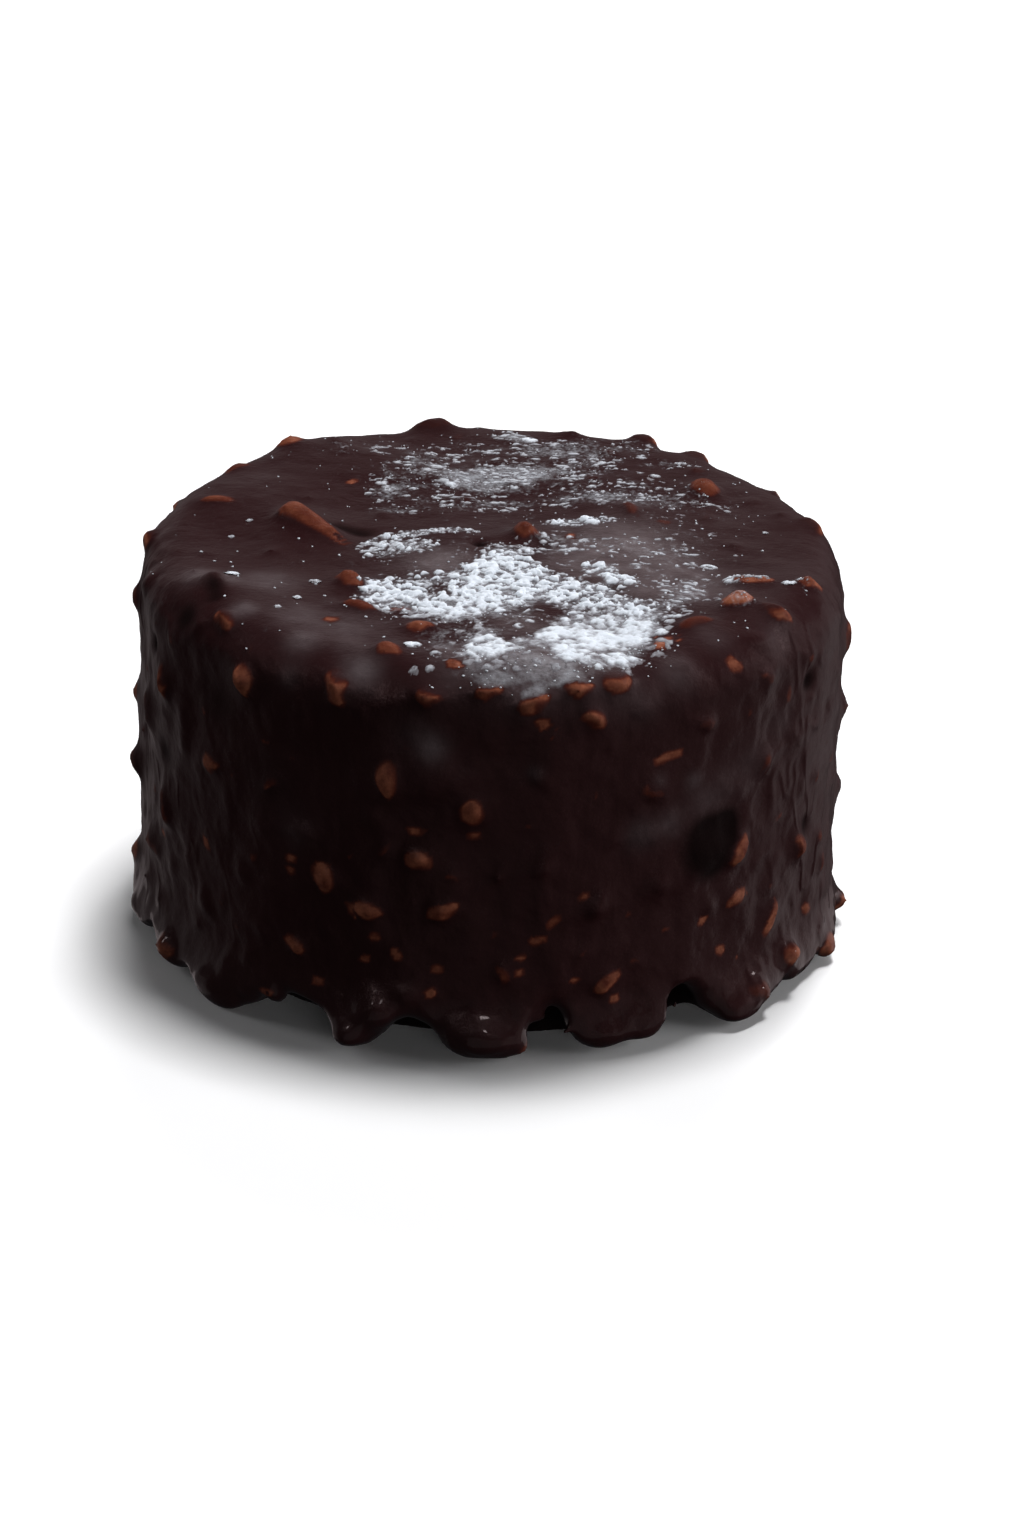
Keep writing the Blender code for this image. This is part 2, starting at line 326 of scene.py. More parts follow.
def outline(bearing, rings):
    # (radius, height, lean) from the middle of the top down to the base
    topRings, rimRings, wallRings, hemRings = rings
    share = dripShare(bearing)
    wall, rim, hem = cake["wallRadius"], cake["rimRound"], cake["hemRound"]
    under = cake["dripClearance"] + cake["gapHeight"] * (1.0 - share)
    if rings is not cake["placingRings"] and abs(bearing) < 90:
        under = hemHeight(bearing)
        share = min(1.0, max(0.0, 1.0 - under / cake["gapHeight"]))
    foot = wall + cake["flare"] + cake["dripBulge"] * share
    rimMiddle, shoulder, hemMiddle = wall - rim, cake["height"] - rim, under + hem
    points = [(rimMiddle * ring / topRings, cake["height"], 0.0) for ring in range(topRings + 1)]
    for ring in range(1, rimRings + 1):
        lean = math.pi / 2 * ring / rimRings
        points.append((rimMiddle + rim * math.sin(lean), shoulder + rim * math.cos(lean), lean))
    for ring in range(1, wallRings + 1):
        height = shoulder + (hemMiddle - shoulder) * ring / wallRings
        spread = smoothStep((cake["flareTop"] - height) / (cake["flareTop"] - hemMiddle))
        points.append((wall + (foot - wall) * spread, height, math.pi / 2))
    for ring in range(1, hemRings + 1):
        turn = math.pi / 2 * ring / hemRings
        points.append((foot - hem * (1.0 - math.cos(turn)), hemMiddle - hem * math.sin(turn), None))
    points.append((cake["baseRadius"] + cake["dripClearance"], under, None))
    points.append((cake["baseRadius"], 0.0, None))
    return points


def toSpace(bearing, radius, height):
    angle = math.radians(bearing)
    return Vector((radius * math.sin(angle), -radius * math.cos(angle), height))


def coatPoint(bearing, radius, height, lean):
    point = toSpace(bearing, radius, height)
    if lean is None:
        return point
    place = Vector((point.x, point.y, point.z * cake["runStretch"])) / cake["swellSpan"]
    swell = cake["swell"] * noise.noise(place) * 2.0
    return toSpace(bearing, radius + swell * math.sin(lean), height + swell * math.cos(lean))


def placeOnCoat(bearing, reach):
    # the point this far along the coat from the middle of the top, and its axes
    line = [coatPoint(bearing, *point) for point in outline(bearing, cake["placingRings"])]
    for start, end in zip(line, line[1:]):
        length = (end - start).length
        if reach <= length:
            break
        reach -= length
    up = (start - end).normalized()
    angle = math.radians(bearing)
    across = Vector((math.cos(angle), math.sin(angle), 0.0))
    return start - up * reach, (across, up, across.cross(up).normalized())


def plainCake():
    mesh = bmesh.new()
    top = mesh.verts.new(coatPoint(-180.0, *outline(-180.0, cake["rings"])[0]))
    columns = []
    for side in range(cake["sides"]):
        bearing = 360.0 * side / cake["sides"] - 180.0
        line = outline(bearing, cake["rings"])[1:]
        columns.append([mesh.verts.new(coatPoint(bearing, *point)) for point in line])
    for column, beside in zip(columns, columns[1:] + columns[:1]):
        mesh.faces.new((top, column[0], beside[0]))
        for upper in range(len(column) - 1):
            mesh.faces.new((column[upper], column[upper + 1], beside[upper + 1], beside[upper]))
    mesh.faces.new([column[-1] for column in reversed(columns)])
    bmesh.ops.recalc_face_normals(mesh, faces=mesh.faces)
    return bmeshData("plainCake", mesh)


# Chopped nuts

nuts = {
    "seed": 11,
    "spacing": 7.6 * mm,
    "topThinning": 2.0,
    "tries": 330,
    "range": (2.4 * mm, 4.4 * mm),
    "width": 0.72,
    "proud": 0.27,
    "topProud": 0.2,
    "shapes": 9,
    "cuts": (3, 6),             # flat cuts on one piece
    "cutDepth": (0.58, 0.9),
    # the broken slab on the left of the top: bearing, reach, length, width, thickness, turn, how bare
    "wedge": (-93, 18.8, 10.2, 4.8, 4.1, -45, 0.95),
    "wedgeProud": 0.12,         # how far its middle stands over the coat, as a share of its thickness
    # its sections along its length: place, half width, height of its ridge
    "wedgeForm": ((-1, 0.6, 0.86), (-0.75, 1, 1), (-0.1, 0.8, 0.84), (0.5, 0.55, 0.68), (1, 0.3, 0.5)),
    "tilt": 16.0,               # degrees that a piece leans at most
    "floorGap": 0.2 * mm,
    "smallTries": 900,
    "smallReach": 76.8 * mm,    # how far down the wall they go
    "smallRange": (0.9 * mm, 2.3 * mm),
    "smallSpacing": 3.0 * mm,
    "smallWidth": (0.55, 0.9),
    "smallProud": 0.24,
    "thickness": (2.2, 0.8),    # of a piece: at least so many times how proud and how wide it is
    # the placed ones: bearing, reach, length, width, how proud (mm), turn (degrees), how bare of coat
    "top": (
        (-91, 18.4, 8.6, 2.2, 0.8, -46, 0), (-99, 21.3, 4.4, 2.4, 0.9, -42, 0),
        (125, 27.5, 4.2, 3.2, 1.6, 20, 0.95), (100, 3.5, 4.4, 3, 1.9, 0, 0.94),
        (120, 16.6, 3.6, 1.7, 1.1, 20, 0.92), (-104, 30.5, 3.8, 1.4, 0.8, 76, 0.95),
        (-48, 20, 3.6, 2.6, 1.5, 10, 0.95), (-34, 24.2, 3.8, 2, 1.2, 0, 0.94),
        (-61, 32.5, 3.6, 3, 1.4, 0, 0.1), (55, 30.5, 3.8, 3.2, 1.9, 0, 1),
        (57, 34.5, 3.6, 2.4, 1.4, 70, 0.9), (42, 31, 4, 2.2, 1.1, 10, 0.93),
        (69, 28.5, 4.8, 2, 0.9, 80, 1), (-16, 26, 2.8, 2, 1.1, 0, 0.96),
        (-18, 32.5, 3.2, 2.2, 1.2, 30, 0.95), (72, 34.5, 2.8, 2, 0.9, 60, 1),
    ),
    "rim": (
        (-50, 35.5, 3.4, 2.4, 1.3, 20, 0.7), (-41, 40, 3.4, 2.8, 1.6, 60, 0.75),
        (-24, 37.5, 4, 3, 1.8, 60, 0.7), (-9, 38, 3.2, 2.4, 1.4, 0, 0.34), (0, 37, 3, 2.4, 1.4, 0, 0.7),
        (7, 38.5, 3.6, 2.2, 1.4, -25, 0.6), (14, 37, 3.6, 2.8, 1.8, 0, 0.42),
        (20, 36.5, 3.8, 2.6, 1.7, 0, 0.6), (16, 40, 3.2, 2.4, 1.4, 30, 0.6),
        (-62, 45.5, 4.4, 3, 1.2, 70, 0.35), (-167, 34, 5.2, 4, 1.8, 0, 0.6),
        (-138, 34.5, 3.4, 2.8, 1.2, 0, 0.96), (-123, 34, 4, 2.6, 0.8, 0, 0.93),
        (153, 35, 4.2, 3, 1.8, 0, 0.7), (142, 35.5, 4, 3, 1.8, 0, 0.9),
        (-94, 37.5, 3.4, 2.8, 1.4, 0, 0.85), (-88, 42, 3.8, 3.2, 1.2, 0, 0.25),
        (88, 44, 3.8, 3.4, 1.4, 90, 0.45),
    ),
    "wall": (
        (-86, 60, 3.4, 3.4, 1.7, 0, 0.2), (-88, 71.5, 2.8, 2.4, 0.9, 0, 0.8),
        (-15, 46.5, 4.8, 2.6, 1.3, 95, 0.7), (-26, 58.5, 3.8, 2.8, 1.1, 80, 0.85),
        (-10, 55.5, 3.2, 2.4, 1, 10, 0.75), (-2, 50, 3.4, 2.6, 1, 80, 0.65),
        (-18, 61.5, 3.2, 1.8, 0.9, 10, 0.85), (-6, 61, 3.6, 2, 1, -30, 0.85),
        (-31, 67, 2.8, 1.8, 0.9, 30, 0.7), (-49, 51, 3, 2.6, 1.1, 0, 0.6),
        (20, 69, 3.3, 1.4, 0.8, -35, 0.95), (43, 58.3, 4.2, 3.2, 2.2, -40, 0.7),
        (60, 61.5, 3.2, 2.6, 1.3, 70, 0.35), (44, 64, 3, 2, 0.9, -20, 0.8),
        (53, 68.5, 4.4, 1.7, 0.9, -62, 0.75),
    ),
    "foot": (
        (-76, 77, 3.4, 3, 1.5, 0, 0.2), (-61, 76, 3.2, 3, 1.6, 0, 0.9), (47, 75.5, 5, 3.6, 1.5, 0, 0.25),
        (58, 73.5, 3, 2.6, 1.5, 0, 0.5), (72, 77, 3.4, 3, 1.6, 0, 0.9), (6, 77, 2.4, 2.2, 1.1, 0, 0.2),
        (25, 78, 2.4, 2, 1, 0, 0.2), (87, 74.5, 3, 2.6, 1.2, 0, 0.6),
    ),
    # low flecks that the coat hardly covers: bearing, reach, length, width, turn
    "flecks": (
        (-26.6, 70.4, 1.1, 0.7, 0), (-35.7, 73.7, 1.5, 0.6, 0), (-20.4, 61.6, 1.8, 1.6, 20),
        (-16.9, 64.5, 1.1, 0.8, 0), (-13.2, 66.3, 1.6, 1.1, 30), (-18.5, 67, 1, 0.7, 0),
        (-6.9, 67.6, 1, 0.9, 0), (-7.8, 70.1, 1.1, 1.1, 0), (10.7, 62.3, 2, 1.1, -45),
        (8.6, 64.4, 1.8, 1.1, -30), (6, 66.3, 0.9, 0.8, 0), (5.9, 68, 0.8, 0.8, 0),
        (14.5, 68.9, 0.9, 0.7, 0), (21.2, 71.1, 1, 0.8, 0), (36.6, 64.7, 1.5, 1.1, -20),
        (44.9, 63.8, 1.5, 1.4, 0), (41.2, 69.4, 1.5, 1.3, 0), (-10.8, 52.4, 1.6, 0.9, 0),
        (-31.6, 57.5, 1.3, 0.8, 0), (-31.6, 58.8, 1.1, 0.8, 0), (-1.5, 52.6, 1.4, 0.9, 0),
        (15.7, 59.5, 1.6, 1.2, 0), (28.9, 45, 3.4, 1.1, -10), (32.8, 32.3, 3, 1.8, -20),
        (41.8, 37.6, 1.8, 1.5, 30), (-34.9, 28.1, 1.8, 1.1, -40), (8, 40.4, 1.8, 1.2, 30),
        (71.7, 34.9, 1.4, 1, 0), (-134.3, 21.9, 1.2, 0.8, 0), (-51, 60.7, 1.6, 1, 60),
        (65, 70.4, 1.4, 1, 40), (-66, 64, 1.4, 1, 0), (-5.6, 34.2, 1.9, 1, 20), (93, 8.1, 1.4, 1.1, 0),
    ),
    "fleckDeep": (0.7, 0.22),   # thickness, how proud
    "bumpDeep": 2.4,            # a bump's thickness, as a share of how proud it is
    # soft lumps right under the coat: bearing, reach, length, width, how proud, turn
    "bumps": (
        (-8, 46.8, 7.4, 5.6, 1.1, 0), (-31, 54, 6, 1.7, 0.6, 5), (7.5, 46.2, 1.7, 1.5, 0.5, 0),
        (27.3, 47.4, 1.9, 1.4, 0.5, 0), (33.6, 48.5, 2.4, 1.4, 0.5, 0), (-36.8, 66.8, 2, 1.3, 0.6, 35),
        (-25.5, 64.2, 2.2, 1.6, 0.5, 20), (2.1, 57.3, 1.6, 1.5, 0.6, 0), (24.2, 39.4, 2.8, 1.8, 0.6, 0),
        (33, 36.4, 2.4, 2, 0.5, 0), (19.5, 53.4, 2.6, 1.6, 0.6, 0), (26.5, 53, 4.6, 2.6, 0.7, -10),
        (28, 58.7, 3.4, 3.4, 1.1, 0), (22, 58.4, 1.2, 1.2, 0.5, 0), (-37, 55.6, 1.6, 1.3, 0.5, 0),
        (-17.8, 50.8, 2.4, 1.8, 0.5, 0), (36, 56.8, 7.4, 6, 2, 0), (-16.6, 72.6, 4.6, 4.4, 1.6, 0),
        (-20.6, 75.2, 4, 3.4, 1.6, 0), (0.7, 75, 6.4, 4.2, 1.5, 0), (-47, 76.6, 7, 4, 1.1, 10),
        (45, 76.2, 6, 3.4, 1.4, -5), (20, 76, 7, 4, 0.8, 5), (37.5, 63.2, 2.6, 1.8, 0.6, 30),
        (33.1, 70.4, 2.4, 1.2, 0.4, 0), (36, 70.9, 1.6, 1, 0.4, 0), (-45, 46, 4.4, 0.8, 0.4, 50),
        (-45.5, 54.5, 7.5, 0.8, 0.4, 76), (52, 54, 5, 0.7, 0.5, 62), (50, 60.5, 5.4, 0.7, 0.5, -20),
        (-57, 49, 9, 1.2, 0.5, 82), (-70, 52, 8, 1.4, 0.6, 86), (61, 52, 10, 1.3, 0.5, 100),
        (49, 36, 4, 2.4, 0.6, 30), (-2.6, 44, 2, 1.4, 0.4, 0), (-79.5, 77, 5, 4.6, 1.4, 0),
        (84, 51, 8, 3.4, 0.4, -15), (73, 49.4, 8, 3.6, 0.4, -10), (61, 48.5, 8, 3.8, 0.4, 0),
        (50, 48.8, 8, 3.6, 0.4, 15), (40, 50.4, 7, 3.4, 0.4, 20), (31.5, 52, 6, 3, 0.4, 10),
    ),
}


def scatteredNuts(draw, taken):
    # the CAD part's own rule and draws, so that the large lumps are the same ones
    topReach = cake["wallRadius"] - cake["rimRound"]
    straight = cake["height"] - cake["rimRound"] - cake["flareTop"] / 3
    wallReach = topReach + cake["rimRound"] * math.pi / 2 + straight
    topArea = math.pi * topReach**2
    wallArea = 2.0 * math.pi * cake["wallRadius"] * (wallReach - topReach)
    found = []
    for number in range(nuts["tries"]):
        area = (number + 0.5) / nuts["tries"] * (topArea + wallArea)
        onTop = area < topArea
        if onTop:
            reach = topReach * math.sqrt(area / topArea)
        else:
            reach = topReach + (wallReach - topReach) * (area - topArea) / wallArea
        bearing = number * 180.0 * (3.0 - math.sqrt(5.0)) + draw.uniform(-4.0, 4.0)
        size = draw.uniform(*nuts["range"])
        turn = draw.uniform(0.0, 180.0)
        spacing = nuts["spacing"] * (nuts["topThinning"] if onTop else 1.0)
        if freePlace(bearing, reach, spacing, taken):
            proud = size * (nuts["topProud"] if onTop else nuts["proud"])
            found.append((bearing, reach, size, size * nuts["width"], proud, turn))
    return found


def smallNuts(draw, taken):
    # fine chopped pieces between the large ones, mostly under the coat
    found = []
    for _ in range(nuts["smallTries"]):
        bearing = draw.uniform(-180.0, 180.0)
        reach = nuts["smallReach"] * math.sqrt(draw.uniform(0.0, 1.0))
        size = draw.uniform(*nuts["smallRange"])
        spacing = nuts["smallSpacing"] * (nuts["topThinning"] if reach < 30 * mm else 1.0)
        if freePlace(bearing, reach, spacing, taken):
            width, proud = size * draw.uniform(*nuts["smallWidth"]), size * nuts["smallProud"]
            found.append((bearing, reach, size, width, proud, draw.uniform(0, 180)))
    return found


def freePlace(bearing, reach, spacing, taken):
    point = placeOnCoat(bearing, reach)[0]
    free = all((point - other).length > spacing for other in taken)
    if free:
        taken.append(point)
    return free


def nutShape(name, draw, whole):
    mesh = bmesh.new()
    bmesh.ops.create_icosphere(mesh, subdivisions=3, radius=1.0)
    for _ in range(0 if whole else draw.randint(*nuts["cuts"])):
        side = Vector([draw.gauss(0, 1) for _ in range(3)]).normalized()
        limit = draw.uniform(*nuts["cutDepth"])
        for corner in mesh.verts:
            over = corner.co.dot(side) - limit
            if over > 0:
                corner.co -= side * over
    for axis in range(3):
        low = min(corner.co[axis] for corner in mesh.verts)
        high = max(corner.co[axis] for corner in mesh.verts)
        for corner in mesh.verts:
            corner.co[axis] = (corner.co[axis] - low) / (high - low) * 2.0 - 1.0
    return bmeshData(name, mesh)


def wedgeShape(name):
    # a sharp ridge towards its back, falling away to a thin tail
    mesh = bmesh.new()
    loops = []
    for along, half, ridge in nuts["wedgeForm"]:
        section = (
            (-half, -1.0), (-0.75 * half, 1.75 * ridge - 1.0), (0.1 * half, 2.0 * ridge - 1.0),
            (0.8 * half, 1.15 * ridge - 1.0), (0.9 * half, -1.0),
        )
        loops.append([mesh.verts.new((along, side, height)) for side, height in section])
    for first, second in zip(loops, loops[1:]):
        for corner in range(len(first)):
            after = (corner + 1) % len(first)
            mesh.faces.new((first[corner], first[after], second[after], second[corner]))
    mesh.faces.new(loops[0][::-1])
    mesh.faces.new(loops[-1])
    bmesh.ops.recalc_face_normals(mesh, faces=mesh.faces)
    return bmeshData(name, mesh)


def bareness(bearing, reach, draw):
    # the front's bare nuts are all in the tables above; the back has as many by chance
    turn = abs((bearing + 180.0) % 360.0 - 180.0)
    share = draw.choice((0.0, 0.1) if turn < 92 else (0.0, 0.0, 0.4, 0.7, 0.9))
    return 0.0 if turn < 92 and reach > 70 * mm else share


def chopped(nut, bare):
    # a lump: bearing, reach, length, width, thickness, how proud, turn, how bare, round or not
    *sizes, width, proud, turn = nut
    thick = max(nuts["thickness"][0] * proud, nuts["thickness"][1] * width)
    return *sizes, width, thick, proud, turn, bare, False


def allLumps(draw):
    rows = [*nuts["top"], *nuts["rim"], *nuts["wall"], *nuts["foot"]]
    chosen = [(row[0], *(size * mm for size in row[1:5]), row[5]) for row in rows]
    taken = [placeOnCoat(*nut[:2])[0] for nut in chosen]
    spread = scatteredNuts(draw, taken)
    lumps = [chopped(nut, row[6]) for nut, row in zip(chosen, rows)]
    lumps += [chopped(nut, bareness(*nut[:2], draw)) for nut in spread]
    deep, proud = nuts["fleckDeep"]
    plain = [(*row[:4], deep, proud, row[4], 1.0, False) for row in nuts["flecks"]]
    plain += [(*row[:4], nuts["bumpDeep"] * row[4], *row[4:], 0.0, True) for row in nuts["bumps"]]
    for row in plain:
        lumps.append((row[0], *(size * mm for size in row[1:6]), *row[6:]))
        taken.append(placeOnCoat(*lumps[-1][:2])[0])
    return lumps + [chopped(nut, bareness(*nut[:2], draw)) for nut in smallNuts(draw, taken)]


def turned(axes, turn):
    return Matrix(axes).transposed() @ Matrix.Rotation(math.radians(-turn), 3, "Z")


def nutPoints():
    draw = random.Random(nuts["seed"])
    lean = math.radians(nuts["tilt"])
    seeds = []
    for bearing, reach, length, width, thick, proud, turn, bare, whole in allLumps(draw):
        point, axes = placeOnCoat(bearing, reach)
        centre = point + axes[2] * (proud - thick / 2)
        centre.z = max(centre.z, thick / 2 + nuts["floorGap"])
        axes = turned(axes, turn)
        if not whole:
            for name in "XY":
                axes = axes @ Matrix.Rotation(draw.uniform(-lean, lean), 3, name)
        shape = 0 if whole else draw.randrange(1, nuts["shapes"])
        seeds.append((centre, axes.to_euler(), (length / 2, width / 2, thick / 2), shape, bare))
    bearing, reach, *sizes, turn, bare = nuts["wedge"]
    point, axes = placeOnCoat(bearing, reach * mm)
    centre = point + axes[2] * sizes[2] * mm * nuts["wedgeProud"]
    halves = tuple(size / 2 * mm for size in sizes)
    seeds.append((centre, turned(axes, turn).to_euler(), halves, nuts["shapes"], bare))
    places, *fields = zip(*seeds)
    data = bpy.data.meshes.new("nutPoints")
    data.from_pydata(places, [], [])
    names = (("turn", "FLOAT_VECTOR"), ("size", "FLOAT_VECTOR"), ("shape", "INT"), ("bare", "FLOAT"))
    for (name, kind), values in zip(names, fields):
        key = "vector" if kind == "FLOAT_VECTOR" else "value"
        data.attributes.new(name, kind, "POINT").data.foreach_set(key, np.array(values).ravel())
    return data


def nutNodes(tree, given):
    shapes = made(tree, "GeometryNodeCollectionInfo", {
        "Collection": given("Shapes"), "Separate Children": True, "Reset Children": True,
    })
    return copies(given("Geometry"), shapes, {
        "Pick Instance": True, "Instance Index": attribute(tree, "shape", "INT"),
        "Rotation": attribute(tree, "turn", "FLOAT_VECTOR"),
        "Scale": attribute(tree, "size", "FLOAT_VECTOR"),
    })


# The coat over the nuts

coat = {
    "firstVoxel": 0.55 * mm,
    "lastVoxel": 0.468 * mm,
    "spread": 34,               # how far the coat runs out round a nut
    "heap": 1.3,                # how much it heaps up there
    "soften": 3,
    "slowRelief": 0.46 * mm,
    "middleRelief": 0.20 * mm,
    "runRelief": 0.09 * mm,
    "fineRelief": 0.045 * mm,
    "thin": -0.20 * mm,         # cover at which the least bare nut shows brown
    "thick": 0.16 * mm,         # and the barest
    "fade": 0.42 * mm,
    "raggedEdge": 0.3 * mm,     # how uneven the coat's edge round a bare nut is
    "shadedSides": (42.6 * mm, 43.2 * mm),  # from here up a nut's steep sides get painted shade
    "reliefStart": (0.2 * mm, 2.0 * mm),  # heights between which the relief sets in
    "baseInset": 1.5 * mm,      # from the base's edge to the one face under it
    "baseDepth": 0.35 * mm,     # which takes in all that is lower than this
    "hollowDepth": 0.55 * mm,
    # how fine each noise is, per metre
    "scale": {"edge": 600.0, "slow": 190.0, "middle": 430.0, "run": 210.0, "patch": 85.0, "fine": 800.0},
    # hollows in the wall, pressed into the coat and darkened with painted shade: bearing, reach, radius
    # (mm), strength
    "dark": (
        (35.4, 55, 2.4, 1), (39.2, 56, 2.5, 1), (34.4, 57.2, 2, 1), (38, 58.8, 1.9, 0.9),
        (41.4, 55, 1.7, 0.9), (60.3, 43, 1.3, 0.8), (62.6, 60, 1.6, 0.7), (-58.6, 37.6, 1.9, 0.8),
        (-68.1, 42.8, 1.2, 0.8), (-64.5, 54.2, 2.2, 0.6), (-56.4, 33.9, 1.3, 0.6), (-48, 44, 4, 0.5),
        (-36, 50, 5, 0.4), (-97, 14.2, 1.9, 0.7), (-99, 16.8, 1.5, 0.6), (-36, 2.6, 0.9, 0.9),
        (70, 5.6, 1.5, 0.5), (42, 18.6, 1.6, 0.5), (-60, 32.8, 1.4, 0.8),
    ),
}


def flowNodes(tree, given):
    # the coat runs off the nuts into broad mounds, measured from the plain cake
    under = nearestOn(formOf(given("Cake")))
    away = made(tree, "GeometryNodeInputPosition") - under
    body = stored(stored(given("Geometry"), "under", under, "FLOAT_VECTOR"), "away", away, "FLOAT_VECTOR")
    raised = blurred(attribute(tree, "away", "FLOAT_VECTOR"), given("Spread")) * given("Heap")
    return moved(body, Position=attribute(tree, "under", "FLOAT_VECTOR") + raised)


def reliefNodes(tree, given):
    # softens the joints, adds runs and slow unevenness, and marks where nuts show
    scale = coat["scale"]
    position, normal = made(tree, "GeometryNodeInputPosition"), made(tree, "GeometryNodeInputNormal")
    body = moved(given("Geometry"), Position=blurred(position, given("Soften")))
    pieces = formOf(given("Nuts"))

    def sampled(value, kind):
        return made(tree, "GeometryNodeSampleNearestSurface", {
            "Mesh": pieces, "Value": value,
        }, data_type=kind)

    facing, bare = sampled(normal, "FLOAT_VECTOR"), sampled(attribute(tree, "bare"), "FLOAT")
    cover = calculated("DOT_PRODUCT", position - nearestOn(pieces), facing)
    cover = cover + (noiseValue(position, scale["edge"]) - 0.5) * coat["raggedEdge"]
    # a bare nut shows all of its outside, a less bare one only its edges, where the coat is thin
    limit = made(tree, "ShaderNodeMapRange", {
        "Value": bare, "To Min": given("Thin"), "To Max": given("Thick"),
    })
    shows = ramp((limit - cover) / given("Fade"), -0.5, 0.5) * ramp(bare, 0.0, 0.06)
    # their upper sides keep more of the coat
    x, y, z = position.axes()
    upper = normal.axes()[2]
    shows = shows * larger(ramp(upper, 0.95, 0.6, 0.25, 1.0), ramp(bare, 0.85, 1.0))
    # and on the top of the cake their steep sides show less nut, as painted shade
    shows = shows * (1.0 - ramp(z, *coat["shadedSides"]) * ramp(upper, 0.85, 0.45, 0.0, 0.36))
    marked = stored(body, "nutShows", shows)

    # height of the relief along the surface's own direction
    slow = noiseValue(vectorOf(x, y, z * 0.6), scale["slow"], 1.5) - 0.5
    middle = noiseValue(position, scale["middle"], 1.5) - 0.5
    height = slow * (given("Slow Relief") * 2.0) + middle * (given("Middle Relief") * 2.0)
    height = height * ramp(abs(upper), 0.95, 0.4, 0.55, 1.0)
    # crooked ridges where the coat ran, in patches on the wall
    run = noiseValue(vectorOf(x + z * 0.2, y, z * 0.4), scale["run"], 2.0, 0.5, 0.8)
    ridge = ramp(abs(run - 0.5), 0.0, 0.08, 1.0, 0.0)
    onWall = ramp(abs(upper), 0.8, 0.3) * ramp(noiseValue(position, scale["patch"], 1.0), 0.48, 0.62)
    height = height + ridge * (onWall * given("Run Relief"))
    height = height + (noiseValue(position, scale["fine"]) - 0.5) * given("Fine Relief")
    height = height * ramp(z, *coat["reliefStart"])
    return smoothed(moved(marked, Offset=normal * height))


def flatBase(data):
    # nothing below the surface that it stands on, and one face under the base
    mesh = bmesh.new()
    mesh.from_mesh(data)
    for corner in mesh.verts:
        corner.co.z = max(corner.co.z, 0.0)
    inside = cake["baseRadius"] - coat["baseInset"]
    low = [
        face for face in mesh.faces
        if face.normal.z < -0.9 and face.calc_center_median().xy.length < inside
        and all(corner.co.z < coat["baseDepth"] for corner in face.verts)
    ]
    bmesh.ops.dissolve_faces(mesh, faces=low)
    bmesh.ops.triangulate(mesh, faces=[face for face in mesh.faces if len(face.verts) > 4])
    mesh.to_mesh(data)
    mesh.free()


# The camera, as fitted to the photo

view = {
    "target": Vector((2.52 * mm, 0.0, 16.1 * mm)),
    "distance": 520.0 * mm,
    "elevation": 24.2,
    "roll": -1.65,
    "pixelsPerMm": 9.29,
    "frameWidth": 1024,
    "frameHeight": 1536,
    "sensor": 36.0,
    "searchFrom": 300.0,    # mm from the camera, where the search for a seen place starts
    "searchStep": 0.02,     # its least step
}


def seenPoint(across, down):
    # x and y in mm of the place on the cake's plain top or rim that shows at a pixel
    tilt, roll = math.radians(view["elevation"]), math.radians(-view["roll"])
    backward = np.array((0.0, -math.cos(tilt), math.sin(tilt)))
    upward = np.array((0.0, math.sin(tilt), math.cos(tilt)))
    distance = view["distance"] / mm
    right = (across - view["frameWidth"] / 2) / view["pixelsPerMm"] / distance
    up = (view["frameHeight"] / 2 - down) / view["pixelsPerMm"] / distance
    ray = upward * (right * math.sin(roll) + up * math.cos(roll)) - backward
    ray[0] = right * math.cos(roll) - up * math.sin(roll)
    ray /= np.linalg.norm(ray)
    rim = cake["rimRound"] / mm
    flat, shoulder = cake["wallRadius"] / mm - rim, cake["height"] / mm - rim
    point = np.array(view["target"]) / mm + backward * distance + ray * view["searchFrom"]
    while point[2] > shoulder:
        beyond = max(math.hypot(point[0], point[1]) - flat, 0.0)
        away = math.hypot(beyond, point[2] - shoulder) - rim
        if away < view["searchStep"]:
            break
        point = point + ray * max(away / 2, view["searchStep"])
    return float(point[0]), float(point[1])


def seenCrumb(across, down, halfWidth, halfHeight):
    # its x, y and half lengths in mm
    leastShare, lyingShare = sugar["crumbDepth"]
    lying = halfHeight / math.sin(math.radians(view["elevation"]))
    depth = max(halfWidth * leastShare, lying * lyingShare)
    x, y = seenPoint(across, down)
    lengths = (round(half / view["pixelsPerMm"], 2) for half in (halfWidth, depth))
    return (round(x, 1), round(y, 1), *lengths)


# Icing sugar

